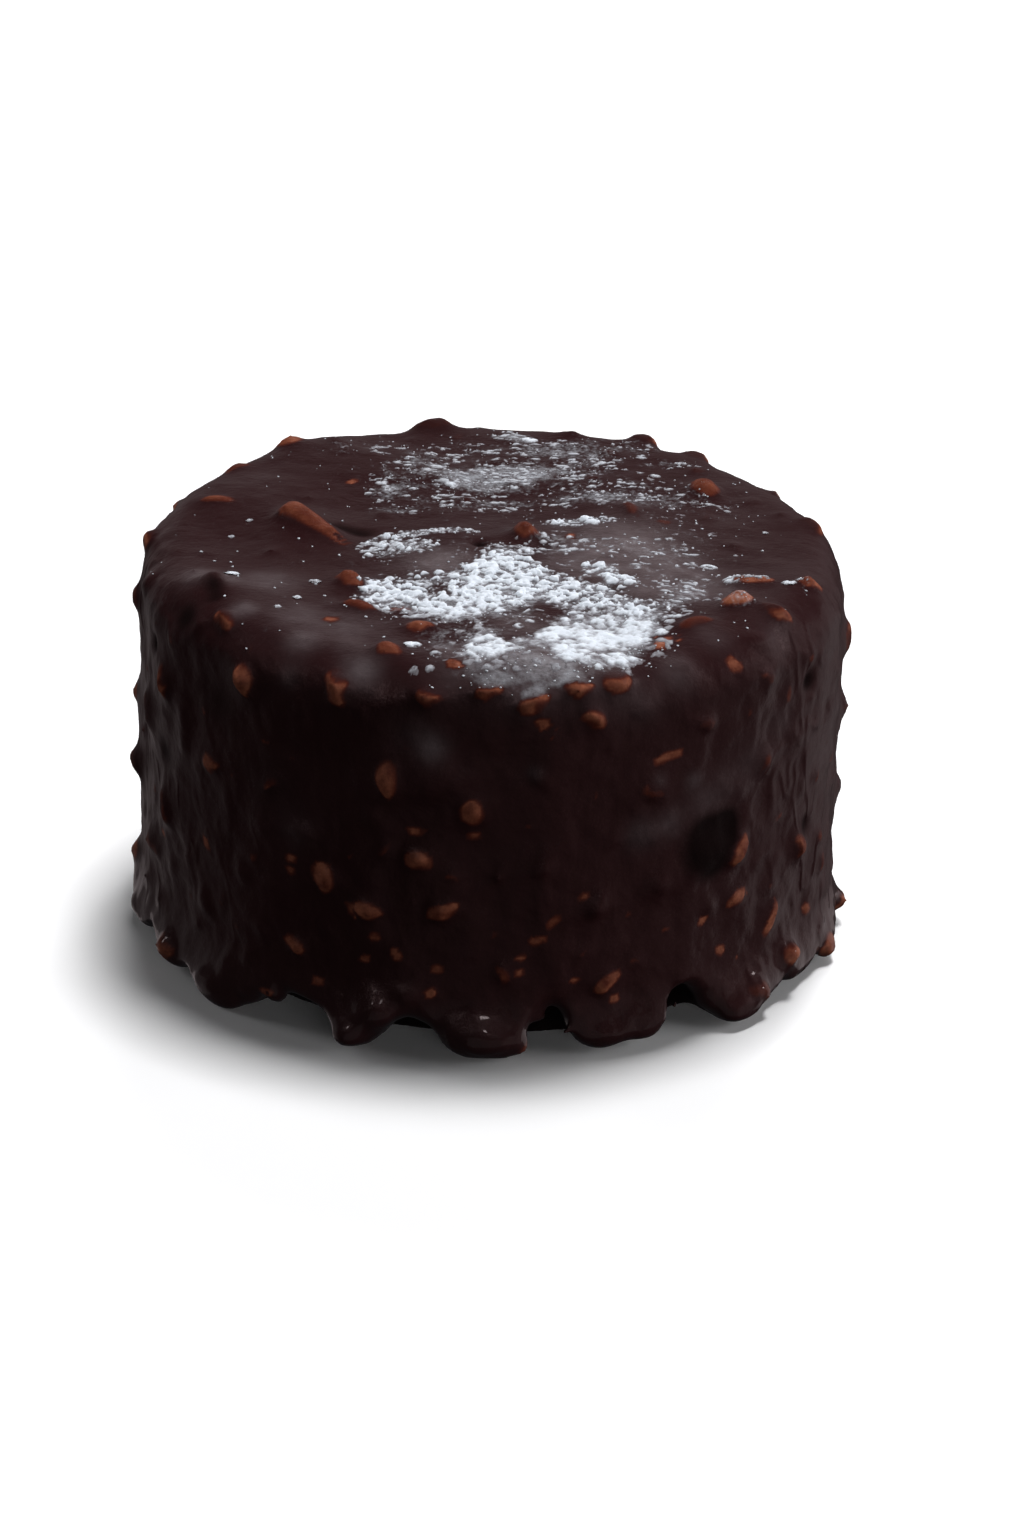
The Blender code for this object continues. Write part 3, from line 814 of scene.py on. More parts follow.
sugar = {
    # x, y, half lengths (mm), strength
    "heaps": (
        (-9.7, -15.9, 3.7, 4.8, 1), (-4.9, -19.8, 2.5, 3.6, 0.85), (-1.3, -13.3, 4.2, 5.4, 0.85),
        (1.2, -6.2, 2.8, 3, 0.85), (3.8, -14.3, 4.6, 4.6, 0.8), (9.4, -15.2, 4.2, 3.8, 0.75),
        (14.7, -20.2, 3.5, 3.8, 1), (11.1, -8.5, 1.8, 1.7, 0.9), (12.9, -11.4, 1.9, 1.3, 0.9),
        (-0.1, -29.6, 3.3, 4.8, 1), (9.9, -28.6, 6.7, 5.4, 1), (8.6, -23.2, 2.9, 3.6, 0.8),
        (-11.2, -3.4, 2.7, 2.7, 0.62), (-7.8, -2.6, 2, 1.7, 0.65), (-5.2, 1.5, 3.2, 0.9, 0.6),
        (-9.6, 0.6, 2.2, 1.3, 0.55), (9, 5, 3.2, 1.3, 0.9), (-2.8, -22, 2.2, 2, 0.7),
        (-2.2, -18.8, 1.5, 2.1, 0.6), (3.6, -10, 2.6, 2.2, 0.55), (13.6, -24.6, 2.6, 2.4, 0.7),
        (1.2, -19, 2.6, 2.2, 0.6),
    ),
    "hollows": (
        (5.4, -20, 1.3, 1.9, 1), (3.3, -24, 1.6, 2.3, 1), (1.6, -27.4, 1.1, 1.4, 0.6),
        (-5.8, -7.4, 2.8, 2.3, 1), (-5.2, -14.9, 1.1, 1.6, 0.9), (9.6, -11.9, 2, 0.9, 0.8),
        (14.9, -15.2, 2.2, 1.5, 0.9), (7.4, -5.4, 3, 1.9, 0.7),
    ),
    "films": (
        (5.4, -33.4, 9.8, 4.2, 0.46), (-0.8, 17.6, 5.4, 3, 0.5), (1.5, 30.8, 1.9, 1.8, 0.5),
        (-11.7, 12.6, 2.4, 2.1, 0.3), (21.8, 6.9, 6.5, 15.7, 0.12), (-8, 22.1, 3.2, 3.1, 0.2),
        (16.3, -2.2, 5.4, 3.9, 0.1), (11.2, 25.8, 6.5, 3.9, 0.16), (6.9, -1.5, 3.2, 2.6, 0.2),
        (19.6, 23.6, 2.6, 1, 0.25), (2.5, 20.4, 4.3, 1.6, 0.3), (-10.3, 8.8, 3.2, 1.3, 0.3),
        (20.3, -13, 3.2, 3.1, 0.3), (11.2, 12, 9.7, 2.1, 0.24), (2, -14, 16, 18, 0.16),
        (1.4, -20.6, 2.8, 2.8, 0.3), (18.6, -18, 2.4, 4, 0.3), (15.3, -5.1, 4.3, 3.9, 0.08),
        (-4.1, -28.2, 3.2, 3.1, 0.3), (-8.4, 16.5, 5.4, 3.7, 0.25), (5.7, 20.7, 8.6, 3.1, 0.25),
        (12.3, 15.1, 6.5, 3.1, 0.2), (4.6, 26.9, 6.5, 2.1, 0.22), (-2.8, 10.9, 5.4, 2.1, 0.25),
        (3.1, -36, 6.5, 2.6, 0.34), (-12, 25, 9, 4, 0.14), (9, 28, 14, 4, 0.12), (2, 16, 16, 11, 0.06),
        (26.4, -9.8, 2.4, 1.4, 0.26), (32.6, -10.5, 1.6, 1.2, 0.26), (25, -17.5, 2, 1.6, 0.42),
    ),
    # soft pale spots painted on the rim and wall as highlights and sheen: bearing, reach, radius (mm),
    # strength
    "paintedSheen": (
        (-8.3, 43.1, 1.4, 0.9), (7.5, 45.9, 0.7, 0.5), (27.3, 47.2, 0.7, 0.5), (33.4, 48.3, 0.9, 0.6),
        (24, 38.5, 2.2, 0.25), (31.1, 36.2, 2.2, 0.45), (-31, 53.7, 2.4, 0.15), (4.9, 37.7, 1.6, 0.25),
        (-11.1, 41.9, 2, 0.25), (24.7, 52.8, 1.6, 0.4), (29.5, 52.3, 1.6, 0.4), (45.8, 48.8, 2.2, 0.22),
        (53, 46, 2, 0.2), (39.4, 50.4, 2.2, 0.25), (35, 51.2, 1.8, 0.3), (72, 50.5, 3, 0.15),
        (-21.4, 34.9, 2, 0.45), (-25.5, 32.1, 2, 0.3), (-7.4, 31, 2.4, 0.45), (53.2, 36.5, 2, 0.3),
        (-61, 31, 1.2, 0.5), (-33, 38, 1.2, 0.3), (41, 34, 2, 0.25), (83, 16.1, 5, 0.7),
        (67, 20.6, 4.5, 0.6), (59, 25, 3.5, 0.6), (74.5, 9.3, 3, 0.5), (8.6, 33.4, 4, 0.9),
        (-4, 34, 3, 0.5), (18, 35.5, 3, 0.4), (-25, 9, 3.5, 0.5), (51, 12.8, 4.5, 0.8),
        (-41, 9.5, 3.5, 0.7), (7, 24, 3, 0.6), (49, 21.5, 3.5, 0.7), (95, 13, 4.5, 0.5),
        (-30, 28.5, 3, 0.5), (-49, 33.4, 1.3, 0.9), (-34, 33.6, 1.8, 0.7), (-41, 30, 3, 0.5),
        (-58, 27, 3, 0.6), (-20.5, 36.2, 1.6, 0.6), (-66, 33, 2, 0.6),
    ),
    # single crumbs as they show: pixel across and down, half width and half height in pixels
    "seenCrumbs": (
        (412, 643, 9, 5), (435, 655, 6, 3), (413, 674, 5.5, 4), (430, 671, 4.5, 3), (519, 628, 5, 4),
        (530, 623, 5, 3), (541, 576, 6, 3.5), (445, 576, 6.5, 3.5), (297, 598, 5, 3.5),
        (278, 608, 4, 3.5), (232, 577, 9, 4), (315, 581, 7, 3.5), (250, 521, 4.5, 2.5),
        (232, 533, 4.5, 2.5), (215, 558, 3, 2.5), (662, 632, 7, 5), (732, 581, 10, 4.5),
        (788, 587, 8, 4), (636, 569, 5, 3), (709, 563, 9, 3.5), (691, 565, 4, 2), (536, 564, 6, 3.5),
        (526, 553, 9, 4.5), (556, 545, 3, 2), (623, 582, 7, 4), (480, 565, 8, 6), (502, 561, 8, 5),
        (570, 540, 4, 3), (745, 592, 2.5, 2), (717, 574, 2.5, 1.5), (710, 533, 3, 2), (735, 552, 3, 2),
        (765, 530, 4, 3), (595, 670, 7, 4), (640, 475, 4, 2), (655, 478, 6, 1.5), (615, 462, 4, 2),
    ),
    # more crumbs: x, y and half lengths in mm
    "crumbs": (
        (24.8, 10.7, 0.5, 0.35), (18.6, 22.2, 0.7, 0.35), (-28.4, -16.6, 0.32, 0.35),
        (-6.6, 20.6, 0.9, 0.5), (-4.9, 15.6, 0.8, 0.6), (-12.4, 15.2, 0.8, 0.5), (7, 22, 0.9, 0.5),
        (3.4, 29.8, 1, 0.8),
    ),
    "crumbDepth": (0.7, 0.6),   # of a seen one: least share of its width, share of its lying height
    "seed": 5,
    "step": 0.16 * mm,          # of the grid that becomes the caked layer
    "layer": 0.13 * mm,
    "lump": 0.31 * mm,
    "bead": 0.16 * mm,
    "sunk": 0.03 * mm,          # how far the layer's edges go under the coat's surface
    "crumbShare": 0.36,         # a crumb's height, as a share of its shorter half length
    "lowest": 30 * mm,          # no sugar lies lower than this
    "swirl": 0.95 * mm,         # how far the lumps are drawn out of their cells
    "dashSwirl": 0.3 * mm,
    "dryAbove": 0.26 * mm,      # thinner sugar is damp and darker
    "grains": 5.0,              # loose grains per square mm where the sugar is thickest
    "stray": 0.007,             # share of that everywhere on the top
    "grainSize": (0.06 * mm, 0.17 * mm),
    "grainForm": (1.3, 1.0, 0.6),
    "calm": (-17.0 * mm, -24.0 * mm),   # from here to the front the layer is smoother
    "behind": (-9.0 * mm, -3.0 * mm),   # and from here to the back its crumbs are finer
    "far": (0.0, 8.0 * mm),             # and so are the loose grains, of which there are more
    # how fine each noise and the cells are, per metre
    "scale": {
        "swirl": 900.0, "wide": 330.0, "middle": 1000.0, "lump": 1050.0, "bead": 2100.0, "flake": 640.0,
        "streak": 800.0, "gap": 1100.0, "crumb": 1500.0, "clump": 700.0, "arc": 480.0,
    },
}


def squareAway(points, x, y, alongX, alongY):
    # 1 on the edge of an ellipse, 0 in its middle
    return ((points[:, 0] / mm - x) / alongX) ** 2 + ((points[:, 1] / mm - y) / alongY) ** 2


def patchSum(points, patches):
    # soft ellipses on the top, added up
    total = np.zeros(len(points))
    for *ellipse, strength in patches:
        total += strength * np.exp(-(squareAway(points, *ellipse) ** 1.6) * 0.8)
    return total


def spotSum(points, spots):
    # soft round spots on the coat, added up
    total = np.zeros(len(points))
    for bearing, reach, radius, strength in spots:
        away = np.linalg.norm(points - np.array(placeOnCoat(bearing, reach * mm)[0]), axis=1)
        total += strength * np.exp(-((away / (radius * mm)) ** 2))
    return np.minimum(total, 1.5)


def storeValues(data, name, values):
    found = data.attributes.get(name) or data.attributes.new(name, "FLOAT", "POINT")
    found.data.foreach_set("value", np.asarray(values, np.float32))


def sugarFields(points):
    heap = np.minimum(patchSum(points, sugar["heaps"]), 1.0)
    heap *= 1 - np.minimum(patchSum(points, sugar["hollows"]), 1.0)
    return heap, np.minimum(patchSum(points, sugar["films"]), 0.6)


def dustCoat(data):
    # where sugar lies on the coat, the painted sheen and painted shade spots, and the hollows pressed in
    points, normals = np.zeros((2, len(data.vertices), 3))
    data.vertices.foreach_get("co", points.ravel())
    data.vertices.foreach_get("normal", normals.ravel())
    flat = np.clip((normals[:, 2] - 0.5) / 0.35, 0, 1) * (points[:, 2] > sugar["lowest"])
    heap, film = sugarFields(points)
    # spots of painted shade, which also press the coat in as hollows
    dark = spotSum(points, coat["dark"])
    # pale spots painted on as highlights and sheen
    storeValues(data, "paintedSheenPatch", spotSum(points, sugar["paintedSheen"]))
    storeValues(data, "darkHollow", dark)
    data.vertices.foreach_set("co", (points - normals * (dark * coat["hollowDepth"])[:, None]).ravel())
    storeValues(data, "sugarHeap", heap * flat)
    storeValues(data, "sugarFilm", np.maximum(film, heap * 0.62) * flat)
    storeValues(data, "topSide", flat)


def sugarGrid():
    # a flat grid wherever sugar may lie, for the tree to lay on the coat
    reach = cake["wallRadius"] - 1.0 * mm
    along = np.arange(-reach, reach, sugar["step"])
    count = len(along)
    points = np.zeros((count * count, 3))
    points[:, 0], points[:, 1] = np.tile(along, count), np.repeat(along, count)
    heap, film = sugarFields(points)
    crumb = np.zeros(len(points))
    for ellipse in (*(seenCrumb(*seen) for seen in sugar["seenCrumbs"]), *sugar["crumbs"]):
        dome = np.sqrt(np.clip(1.0 - squareAway(points, *ellipse), 0, 1))
        crumb = np.maximum(crumb, dome * min(ellipse[2:]) * sugar["crumbShare"] * mm)
    wanted = ((heap > 0.06) | (film > 0.08) | (crumb > 0)) & (np.hypot(points[:, 0], points[:, 1]) < reach)
    corner = np.arange(count * count).reshape(count, count)
    quads = np.stack([corner[:-1, :-1], corner[:-1, 1:], corner[1:, 1:], corner[1:, :-1]], -1)
    quads = quads.reshape(-1, 4)
    quads = quads[wanted[quads].all(1)]
    used, quads = np.unique(quads, return_inverse=True)
    data = bpy.data.meshes.new("sugarGrid")
    data.from_pydata(points[used].tolist(), [], quads.reshape(-1, 4).tolist())
    for name, values in (("sugarHeap", heap), ("sugarFilm", film), ("sugarCrumb", crumb)):
        storeValues(data, name, values[used])
    return data


def cells(place, scale):
    # rounded domes, one to a cell, and a chance value for each cell
    cell = addNode(place.tree, "ShaderNodeTexVoronoi", {
        "Vector": place, "Scale": scale,
    }, voronoi_dimensions="2D")
    dome = calculated("SQRT", larger(1.0 - (out(cell, "Distance") / 0.66) ** 2.0, 0.0))
    return dome, out(cell, "Color").axes()[0] - 0.5


def cakedNodes(tree, given):
    # sugar that has caked into a broken layer of lumps
    scale = sugar["scale"]
    position = made(tree, "GeometryNodeInputPosition")
    landed = addNode(tree, "GeometryNodeRaycast", {
        "Target Geometry": formOf(given("Coat")), "Ray Direction": (0.0, 0.0, -1.0), "Ray Length": 0.1,
        "Source Position": position + (0.0, 0.0, 60.0 * mm),
    })
    swirl = made(tree, "ShaderNodeTexNoise", {
        "Vector": position, "Scale": scale["swirl"], "Detail": 2.0,
    }, "Color") - (0.5, 0.5, 0.5)
    place = position + swirl * sugar["swirl"]
    wide = noiseValue(place, scale["wide"], 2.0, 0.6) - 0.5
    middle = noiseValue(place, scale["middle"], 2.0, 0.6) - 0.5
    heap, film = attribute(tree, "sugarHeap"), attribute(tree, "sugarFilm")
    lumpDome, lumpChance = cells(place, scale["lump"])
    beadDome, beadChance = cells(place, scale["bead"])
    flakeDome, flakeChance = cells(place, scale["flake"])
    y = position.axes()[1]
    calm = ramp(y, *sugar["calm"])
    lumpy = 1.0 - calm * 0.75
    layer = ramp(heap + (middle * (1.0 - calm * 0.7) * 3.0 + wide * 1.6), 0.56, 1.36)
    layer = layer * given("Layer") * (1.0 + calm * 1.1)
    # hardly a lump outside the heaps
    behind = ramp(y, *sugar["behind"], 0.0, 0.4)
    heaped = heap - (behind + ramp(heap, 0.0, 0.25, 0.5, 0.0))
    lump = ramp(heaped + (lumpChance * 2.2 + wide * 1.8), 0.92, 1.12) * given("Lump")
    lump = lumpy * (lump * (0.8 + lumpChance * 1.1)) * lumpDome ** 0.6
    flake = ramp(heap + (flakeChance * 1.4 + wide * 1.2), 1.36, 1.46) * given("Lump") * flakeDome ** 0.5
    # in the thin films it lies in streaks from side to side
    streak = noiseValue(place * (0.35, 1.0, 1.0), scale["streak"], 2.0, 0.6) - 0.5
    dashDome, dashChance = cells((position + swirl * sugar["dashSwirl"]) * (0.45, 1.0, 1.0), scale["bead"])
    there = ramp(larger(heap, film), 0.08, 0.2) * (lumpy * given("Bead"))
    beaded = (heap + behind * 0.7) * ramp(heap, 0.0, 0.2)
    bead = there * ramp(beaded + (beadChance * 1.8 + wide * 2.2), 0.82, 0.98)
    dash = there * ramp(film * (1.5 - calm) + (dashChance * 1.5 + streak * 4.4), 0.96, 1.1)
    height = larger(lump, bead * beadDome, dash * dashDome, flake * lumpy) + layer
    # small gaps right through to the coat
    gaps = larger(ramp(noiseValue(place, scale["gap"], 2.0, 0.6), 0.40, 0.47), calm * 0.8)
    ragged = calculated("MULTIPLY", noiseValue(position, scale["crumb"], 1.0) - 0.36, 7.0, True)
    height = larger(height * gaps, attribute(tree, "sugarCrumb") * ragged)
    outward = out(landed, "Hit Normal")
    height = height * ramp(outward.axes()[2], 0.72, 0.92) - given("Sunk")
    body = stored(given("Geometry"), "sugarThick", height)
    body = moved(body, Position=out(landed, "Hit Position") + outward * height)
    bare = made(tree, "FunctionNodeCompare", {
        "A": attribute(tree, "sugarThick"), "B": -0.9 * sugar["sunk"],
    }, operation="LESS_THAN")
    return smoothed(made(tree, "GeometryNodeDeleteGeometry", {
        "Geometry": body, "Selection": bare,
    }, domain="FACE"))


def looseNodes(tree, given):
    # single grains, thickest round the heaps and in the thin films
    scale = sugar["scale"]
    position = made(tree, "GeometryNodeInputPosition")
    clumps = ramp(noiseValue(position, scale["clump"], 3.0, 0.6), 0.5, 0.7)
    arcs = noiseValue(position * (0.4, 1.0, 1.0), scale["arc"], 2.0, 0.6)
    arcs = ramp(abs(arcs - 0.5), 0.0, 0.035, 1.0, 0.0) * 1.6
    far = ramp(position.axes()[1], *sugar["far"])
    film = (0.45 + far * 0.4) * attribute(tree, "sugarFilm")
    chance = (film + attribute(tree, "sugarHeap") * 0.5) * larger(clumps, arcs)
    chance = chance + attribute(tree, "topSide") * given("Stray")
    points = made(tree, "GeometryNodeDistributePointsOnFaces", {
        "Mesh": given("Geometry"), "Density": chance * given("Per Area"), "Seed": given("Seed"),
    }, "Points", distribute_method="RANDOM")
    share = made(tree, "FunctionNodeRandomValue", {"Seed": 3}, data_type="FLOAT")
    size = made(tree, "ShaderNodeMapRange", {
        "Value": share ** 2.0, "To Min": given("Smallest"), "To Max": given("Largest"),
    })
    spin = made(tree, "FunctionNodeRandomValue", {
        "Min": (-0.4, -0.4, 0.0), "Max": (0.4, 0.4, 6.283), "Seed": 8,
    }, data_type="FLOAT_VECTOR")
    return smoothed(copies(points, formOf(given("Grain")), {
        "Rotation": spin, "Scale": given("Grain Form") * (size * (1.0 - far * 0.3)),
    }))


# Finishes

finish = {
    "chocolate": (0.016, 0.0038, 0.0042, 1.0),
    "chocolateWorn": (0.027, 0.0095, 0.0100, 1.0),
    "chocolateTop": (0.018, 0.0058, 0.0064, 1.0),
    # painted shade colour, for the hollows and up under the hem
    "deep": (0.0015, 0.0006, 0.0006, 1.0),
    "nut": (0.26, 0.086, 0.046, 1.0),
    # a nut under thin coat, also used as painted shade on a nut's edges and sides
    "nutThinCoatAndShade": (0.072, 0.0145, 0.0075, 1.0),
    "sugar": (0.60, 0.64, 0.70, 1.0),
    "sugarDamp": (0.09, 0.075, 0.082, 1.0),
    # the colour of the painted highlights and sheen
    "paintedSheenPatch": (0.46, 0.40, 0.42, 1.0),
    "gloss": (0.36, 0.48),
    "sheen": (1.0, 0.80, 0.80, 1.0),
    "wetness": 0.85,
    "topColour": (35.0 * mm, 42.0 * mm),    # heights between which the top's own colour sets in
    "satin": (40.0 * mm, 42.0 * mm),        # and its satin grain
    "wetFoot": (8.0 * mm, 3.5 * mm),        # and, downwards, the gloss of the foot
    "underHem": (6.5 * mm, 5.0 * mm),       # and the painted shade up under the hem
    "innerHem": (36.6 * mm, 35.0 * mm),     # which is inside this radius
    "clearFront": (-26.0 * mm, -32.0 * mm),  # y from which less powder lies
    "sideRidges": (20.0 * mm, 33.0 * mm),   # x from which the ridges are strong
    # how fine each noise is, per metre
    "scale": {
        "cloud": 110.0, "worn": 900.0, "nut": 520.0, "powder": 2200.0, "cloudy": 450.0, "ridge": 230.0,
        "satin": 2300.0, "sugar": 3000.0,
    },
}


def speckGroup():
    # fine uneven specks at one size, as a value from 0 to 1
    group = bpy.data.node_groups.new("fineGrain", "ShaderNodeTree")
    for name, kind in (("Vector", "Vector"), ("Scale", "Float"), ("Contrast", "Float")):
        group.interface.new_socket(name, in_out="INPUT", socket_type="NodeSocket" + kind)
    group.interface.new_socket("Value", in_out="OUTPUT", socket_type="NodeSocketFloat")
    source = group.nodes.new("NodeGroupInput")
    fine = noiseValue(out(source, "Vector"), out(source, "Scale"), 4.0, 0.6)
    value = calculated("ADD", (fine - 0.5) * out(source, "Contrast"), 0.5, True)
    addNode(group, "NodeGroupOutput", {0: value})
    return group


def specks(place, scale, contrast):
    return made(place.tree, "ShaderNodeGroup", {
        "Vector": place, "Scale": scale, "Contrast": contrast,
    }, node_tree=speckTree)


def mixed(share, first, second):
    return made(share.tree, "ShaderNodeMix", {"Factor": share, "A": first, "B": second}, data_type="RGBA")


def painted(tree, name):
    return made(tree, "ShaderNodeAttribute", None, "Fac", attribute_name=name)


def bumped(height, strength, distance):
    return made(height.tree, "ShaderNodeBump", {
        "Height": height, "Strength": strength, "Distance": distance,
    })


def blank(name):
    material = bpy.data.materials.new(name)
    material.use_nodes = True
    surface = material.node_tree.nodes["Principled BSDF"]
    return material, surface, made(material.node_tree, "ShaderNodeTexCoord", None, "Object")


def coatMaterial():
    material, surface, place = blank("darkChocolate")
    shows, film, paintedSheen, hollowShade = (
        painted(place.tree, name) for name in ("nutShows", "sugarFilm", "paintedSheenPatch", "darkHollow")
    )
    scale = finish["scale"]
    x, y, z = place.axes()
    cloud = noiseValue(place, scale["cloud"], 3.0)
    worn = specks(place, scale["worn"], 1.4)
    choc = mixed(cloud * worn, finish["chocolate"], finish["chocolateWorn"])
    top = mixed(worn * 0.7, finish["chocolateTop"], finish["chocolate"])
    choc = mixed(ramp(z, *finish["topColour"]), choc, top)
    # the coat lets a nut through softly: a darker brown where it is thinly coated, which also serves as
    # painted shade at its edges and shaded sides, lighter in the middle
    nutShare = specks(place, scale["nut"], 2.6) * ramp(shows, 0.55, 1.0)
    colour = mixed(ramp(shows, 0.1, 0.8), choc, mixed(nutShare, finish["nutThinCoatAndShade"], finish["nut"]))
    powder, cloudy = specks(place, scale["powder"], 3.0), specks(place, scale["cloudy"], 1.6)
    haze = powder * ramp(y, *finish["clearFront"], 0.35, 0.1) + cloudy * 0.6
    dusted = ramp(film + haze, 0.7, 1.5, 0.0, 0.5)
    # pale spots painted on the coat as soft highlights and sheen
    paintedSheen = paintedSheen * (cloudy * 0.14 + 0.06) * ramp(shows, 0.5, 0.0)
    colour = mixed(dusted, mixed(paintedSheen, colour, finish["paintedSheenPatch"]), finish["sugar"])
    # painted shade in the hollows and up under the hem
    radius = made(place.tree, "ShaderNodeVectorMath", {0: vectorOf(x, y)}, operation="LENGTH")
    hemShade = ramp(radius, *finish["innerHem"]) * ramp(z, *finish["underHem"])
    hollowShade = ramp(hollowShade, 0.12, 0.85) * ramp(shows, 0.5, 0.0)
    deep = calculated("MAXIMUM", hemShade, hollowShade * 0.92, True)
    rough = ramp(cloud, 0.35, 0.65, *finish["gloss"]) + shows * 0.15 + deep * 0.5
    # thin crooked ridges, mostly on the two sides, and a fine satin grain across the top
    crooked = vectorOf(x + z * 0.3, y - z * 0.2, z * 0.35)
    line = ramp(abs(noiseValue(crooked, scale["ridge"], 1.0, 0.5, 0.4) - 0.5), 0.0, 0.11, 1.0, 0.0)
    sides = ramp(abs(x), *finish["sideRidges"], 0.12, 1.0)
    onTop = ramp(z, *finish["satin"])
    line = line * (sides * ramp(cloud, 0.45, 0.6, 0.1, 1.3)) * (1.0 - onTop)
    satin = specks(place * (0.35, 1.0, 1.0), scale["satin"], 1.6) * (onTop * 0.5)
    height = worn + powder * dusted + satin + line * 1.7
    fill(surface, {
        # painted shade over the hollows and under the hem
        "Base Color": mixed(deep, colour, finish["deep"]),
        "Roughness": calculated("ADD", rough, dusted * 0.5, True),
        "Normal": bumped(height, 0.9, 0.09 * mm),
        # a thin gloss at the foot, where it is wetter
        "Coat Weight": ramp(z, *finish["wetFoot"], 0.0, finish["wetness"]) * (1.0 - hemShade),
        "Coat Roughness": 0.08, "Specular Tint": finish["sheen"],
    })
    return material


def sugarMaterial():
    material, surface, place = blank("icingSugar")
    powder = specks(place, finish["scale"]["sugar"], 2.0)
    dry = ramp(painted(place.tree, "sugarThick") + powder * (0.06 * mm), 0.0, sugar["dryAbove"])
    fill(surface, {
        "Base Color": mixed(dry, finish["sugarDamp"], finish["sugar"]), "Roughness": 0.9,
        "Subsurface Weight": 0.25, "Subsurface Radius": (1.0, 1.0, 1.0), "Subsurface Scale": 0.2 * mm,
        "Normal": bumped(powder, 0.5, 0.08 * mm),
    })
    return material


# The cake is made

speckTree = speckGroup()
chocolateFinish, sugarFinish = coatMaterial(), sugarMaterial()

drips = allDrips()
plain = sceneObject("plainCake", plainCake())
print("plain cake:", len(plain.data.vertices), "points")

shapeDraw = random.Random(nuts["seed"] + 1)
shapeGroup = bpy.data.collections.new("nutShapes")
for number in range(nuts["shapes"] + 1):
    name = f"nutShape{number}"
    if number < nuts["shapes"]:
        shape = nutShape(name, shapeDraw, number == 0)  # the first one is round, for lumps of coat
    else:
        shape = wedgeShape(name)
    shapeGroup.objects.link(sceneObject(name, shape, False))
seeds = sceneObject("nutSeeds", nutPoints())
pieces = sceneObject("nutPieces", grown(seeds, "choppedNuts", nutNodes, {
    "Shapes": shapeGroup, "Material": chocolateFinish,
}))
print("chopped nuts:", len(seeds.data.vertices))

rough = fused("roughCoat", coat["firstVoxel"], plain.data, pieces.data)
mounds = grown(rough, "coatFlow", flowNodes, {
    "Cake": plain, "Spread": coat["spread"], "Heap": coat["heap"],
})
full = fused("fullCoat", coat["lastVoxel"], mounds, pieces.data)
coatData = grown(full, "coatRelief", reliefNodes, {
    "Nuts": pieces, "Soften": coat["soften"], "Slow Relief": coat["slowRelief"],
    "Middle Relief": coat["middleRelief"], "Run Relief": coat["runRelief"],
    "Fine Relief": coat["fineRelief"], "Thin": coat["thin"], "Thick": coat["thick"],
    "Fade": coat["fade"], "Material": chocolateFinish,
})
flatBase(coatData)
dustCoat(coatData)
coatPiece = sceneObject("chocolateCoat", coatData)
print("coat:", triangles(coatData), "triangles")

tiny = bmesh.new()
bmesh.ops.create_icosphere(tiny, subdivisions=1, radius=1.0)
looseData = grown(coatPiece, "looseSugar", looseNodes, {
    "Per Area": sugar["grains"] * 1e6, "Stray": sugar["stray"], "Smallest": sugar["grainSize"][0],
    "Largest": sugar["grainSize"][1], "Seed": sugar["seed"], "Grain Form": sugar["grainForm"],
    "Grain": sceneObject("grainShape", bmeshData("grainShape", tiny), False), "Material": sugarFinish,
})
storeValues(looseData, "sugarThick", np.full(len(looseData.vertices), sugar["bead"]))
grid = sceneObject("sugarGrid", sugarGrid())
cakedData = grown(grid, "cakedSugar", cakedNodes, {
    "Coat": coatPiece, "Layer": sugar["layer"], "Lump": sugar["lump"], "Bead": sugar["bead"],
    "Sunk": sugar["sunk"], "Material": sugarFinish,
})
loosePiece = sceneObject("looseSugar", looseData)
cakedPiece = sceneObject("cakedSugar", cakedData)
for piece in (loosePiece, cakedPiece):
    print(piece.name, triangles(piece.data), "triangles")

for spare in (plain, seeds, pieces, rough, full, grid):
    bpy.data.objects.remove(spare)

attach(coatPiece, "root")
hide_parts("entremet")
for piece in (loosePiece, cakedPiece):
    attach(piece, "root")
print("pieces placed")

# Floor, light and camera

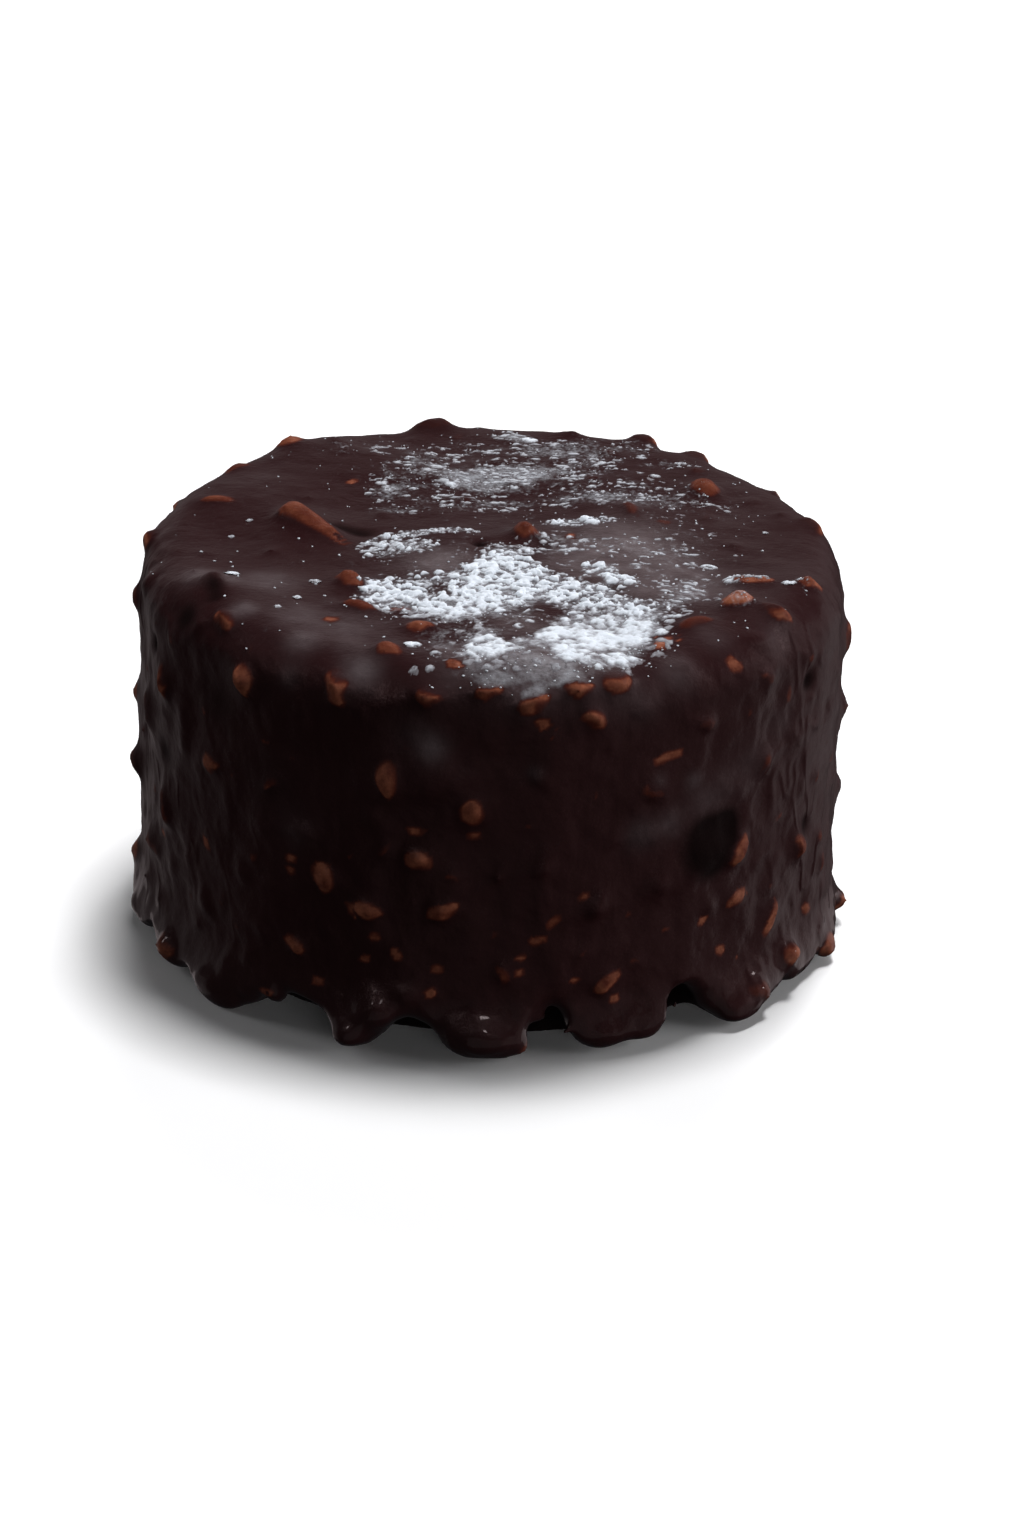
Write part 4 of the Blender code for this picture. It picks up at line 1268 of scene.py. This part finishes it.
studio = {
    "floorSize": 6.0,
    "floorColour": (0.92, 0.92, 0.93, 1.0),
    "world": (0.012, 0.012, 0.013, 1.0),
    "backdrop": (1.0, 1.0, 1.0, 1.0),   # what the camera sees behind the cake
    # name, watts, size x, size y, distance, bearing it shines from, elevation, what it lights
    "lights": (
        ("overhead", 16.5, 0.36, 0.36, 1.3, 142, 78, "colour"),
        ("behind", 8.0, 0.5, 0.5, 1.2, 172, 38, "colour"),
        ("rightSide", 6.0, 0.7, 0.7, 1.0, 84, 12, "colour"),
        ("leftEdge", 2.3, 0.25, 0.9, 0.9, -112, 6, "colour"),
        ("front", 3.6, 1.0, 0.4, 1.4, 14, 9, "colour"),
        ("backdrop", 0.10, 0.6, 0.24, 0.45, 176, 14, "gloss"),
        ("ceiling", 0.08, 0.5, 0.4, 0.8, 165, 50, "gloss"),
        ("above", 0.16, 0.6, 0.5, 0.7, 0, 76, "gloss"),
        ("window", 0.22, 0.09, 0.09, 0.8, 10, 39, "gloss"),
        ("windowRight", 0.26, 0.10, 0.10, 0.8, 96, 22, "gloss"),
        ("windowMiddle", 0.24, 0.09, 0.09, 0.8, -42, 34, "gloss"),
        ("windowLeft", 0.08, 0.10, 0.10, 0.8, -100, 42, "gloss"),
        ("frontCard", 0.09, 0.9, 0.5, 0.6, 8, -20, "gloss"),
        ("rightCard", 0.15, 0.34, 0.44, 0.45, 122, -10, "gloss"),
        ("rightNear", 0.05, 0.34, 0.44, 0.45, 66, -12, "gloss"),
        ("leftCard", 0.05, 0.2, 0.4, 0.45, -150, -14, "gloss"),
        ("leftNear", 0.03, 0.35, 0.4, 0.45, -116, -20, "gloss"),
    ),
    "glossTint": (1.0, 0.86, 0.87),
    "aim": Vector((0.0, 0.0, 22.0 * mm)),
}

floorMesh = bmesh.new()
bmesh.ops.create_grid(floorMesh, x_segments=1, y_segments=1, size=studio["floorSize"] / 2)
floor = sceneObject("floor", bmeshData("floor", floorMesh))
floorFinish, surface, _ = blank("paleFloor")
fill(surface, {"Base Color": studio["floorColour"], "Roughness": 0.9, "Specular IOR Level": 0.1})
floor.data.materials.append(floorFinish)
floor.visible_glossy = False
floor.visible_diffuse = False
floor.visible_shadow = False    # the low cards shine through it

world = bpy.data.worlds.new("studio")
bpy.context.scene.world = world
world.use_nodes = True
seen = made(world.node_tree, "ShaderNodeLightPath", None, "Is Camera Ray")
fill(world.node_tree.nodes["Background"], {"Color": mixed(seen, studio["world"], studio["backdrop"])})

for name, watts, sizeX, sizeY, distance, bearing, elevation, kind in studio["lights"]:
    lamp = bpy.data.lights.new(name, "AREA")
    lamp.shape = "RECTANGLE"
    lamp.size, lamp.size_y, lamp.energy = sizeX, sizeY, watts
    lamp.color = studio["glossTint"] if kind == "gloss" else (1.0, 1.0, 1.0)
    item = sceneObject(name, lamp)
    item.visible_glossy, item.visible_diffuse = kind == "gloss", kind == "colour"
    item.visible_camera = False
    side = toSpace(bearing, math.cos(math.radians(elevation)), math.sin(math.radians(elevation)))
    item.location = studio["aim"] + side * distance
    item.rotation_mode = "QUATERNION"
    item.rotation_quaternion = (-side).to_track_quat("-Z", "Y")

lens = bpy.data.cameras.new("camera")
lens.sensor_width = view["sensor"]
lens.lens = view["distance"] * view["pixelsPerMm"] / mm * view["sensor"] / view["frameHeight"]
lens.clip_start, lens.clip_end = 0.01, 20.0
camera = sceneObject("camera", lens)
tilt = math.radians(view["elevation"])
backward = Vector((0.0, -math.cos(tilt), math.sin(tilt)))
camera.location = view["target"] + backward * view["distance"]
camera.rotation_mode = "QUATERNION"
level = (-backward).to_track_quat("-Z", "Y").to_matrix()
camera.rotation_quaternion = (level @ Matrix.Rotation(math.radians(-view["roll"]), 3, "Z")).to_quaternion()
bpy.context.scene.camera = camera
bpy.context.scene.view_settings.view_transform = "Standard"
print("studio set")
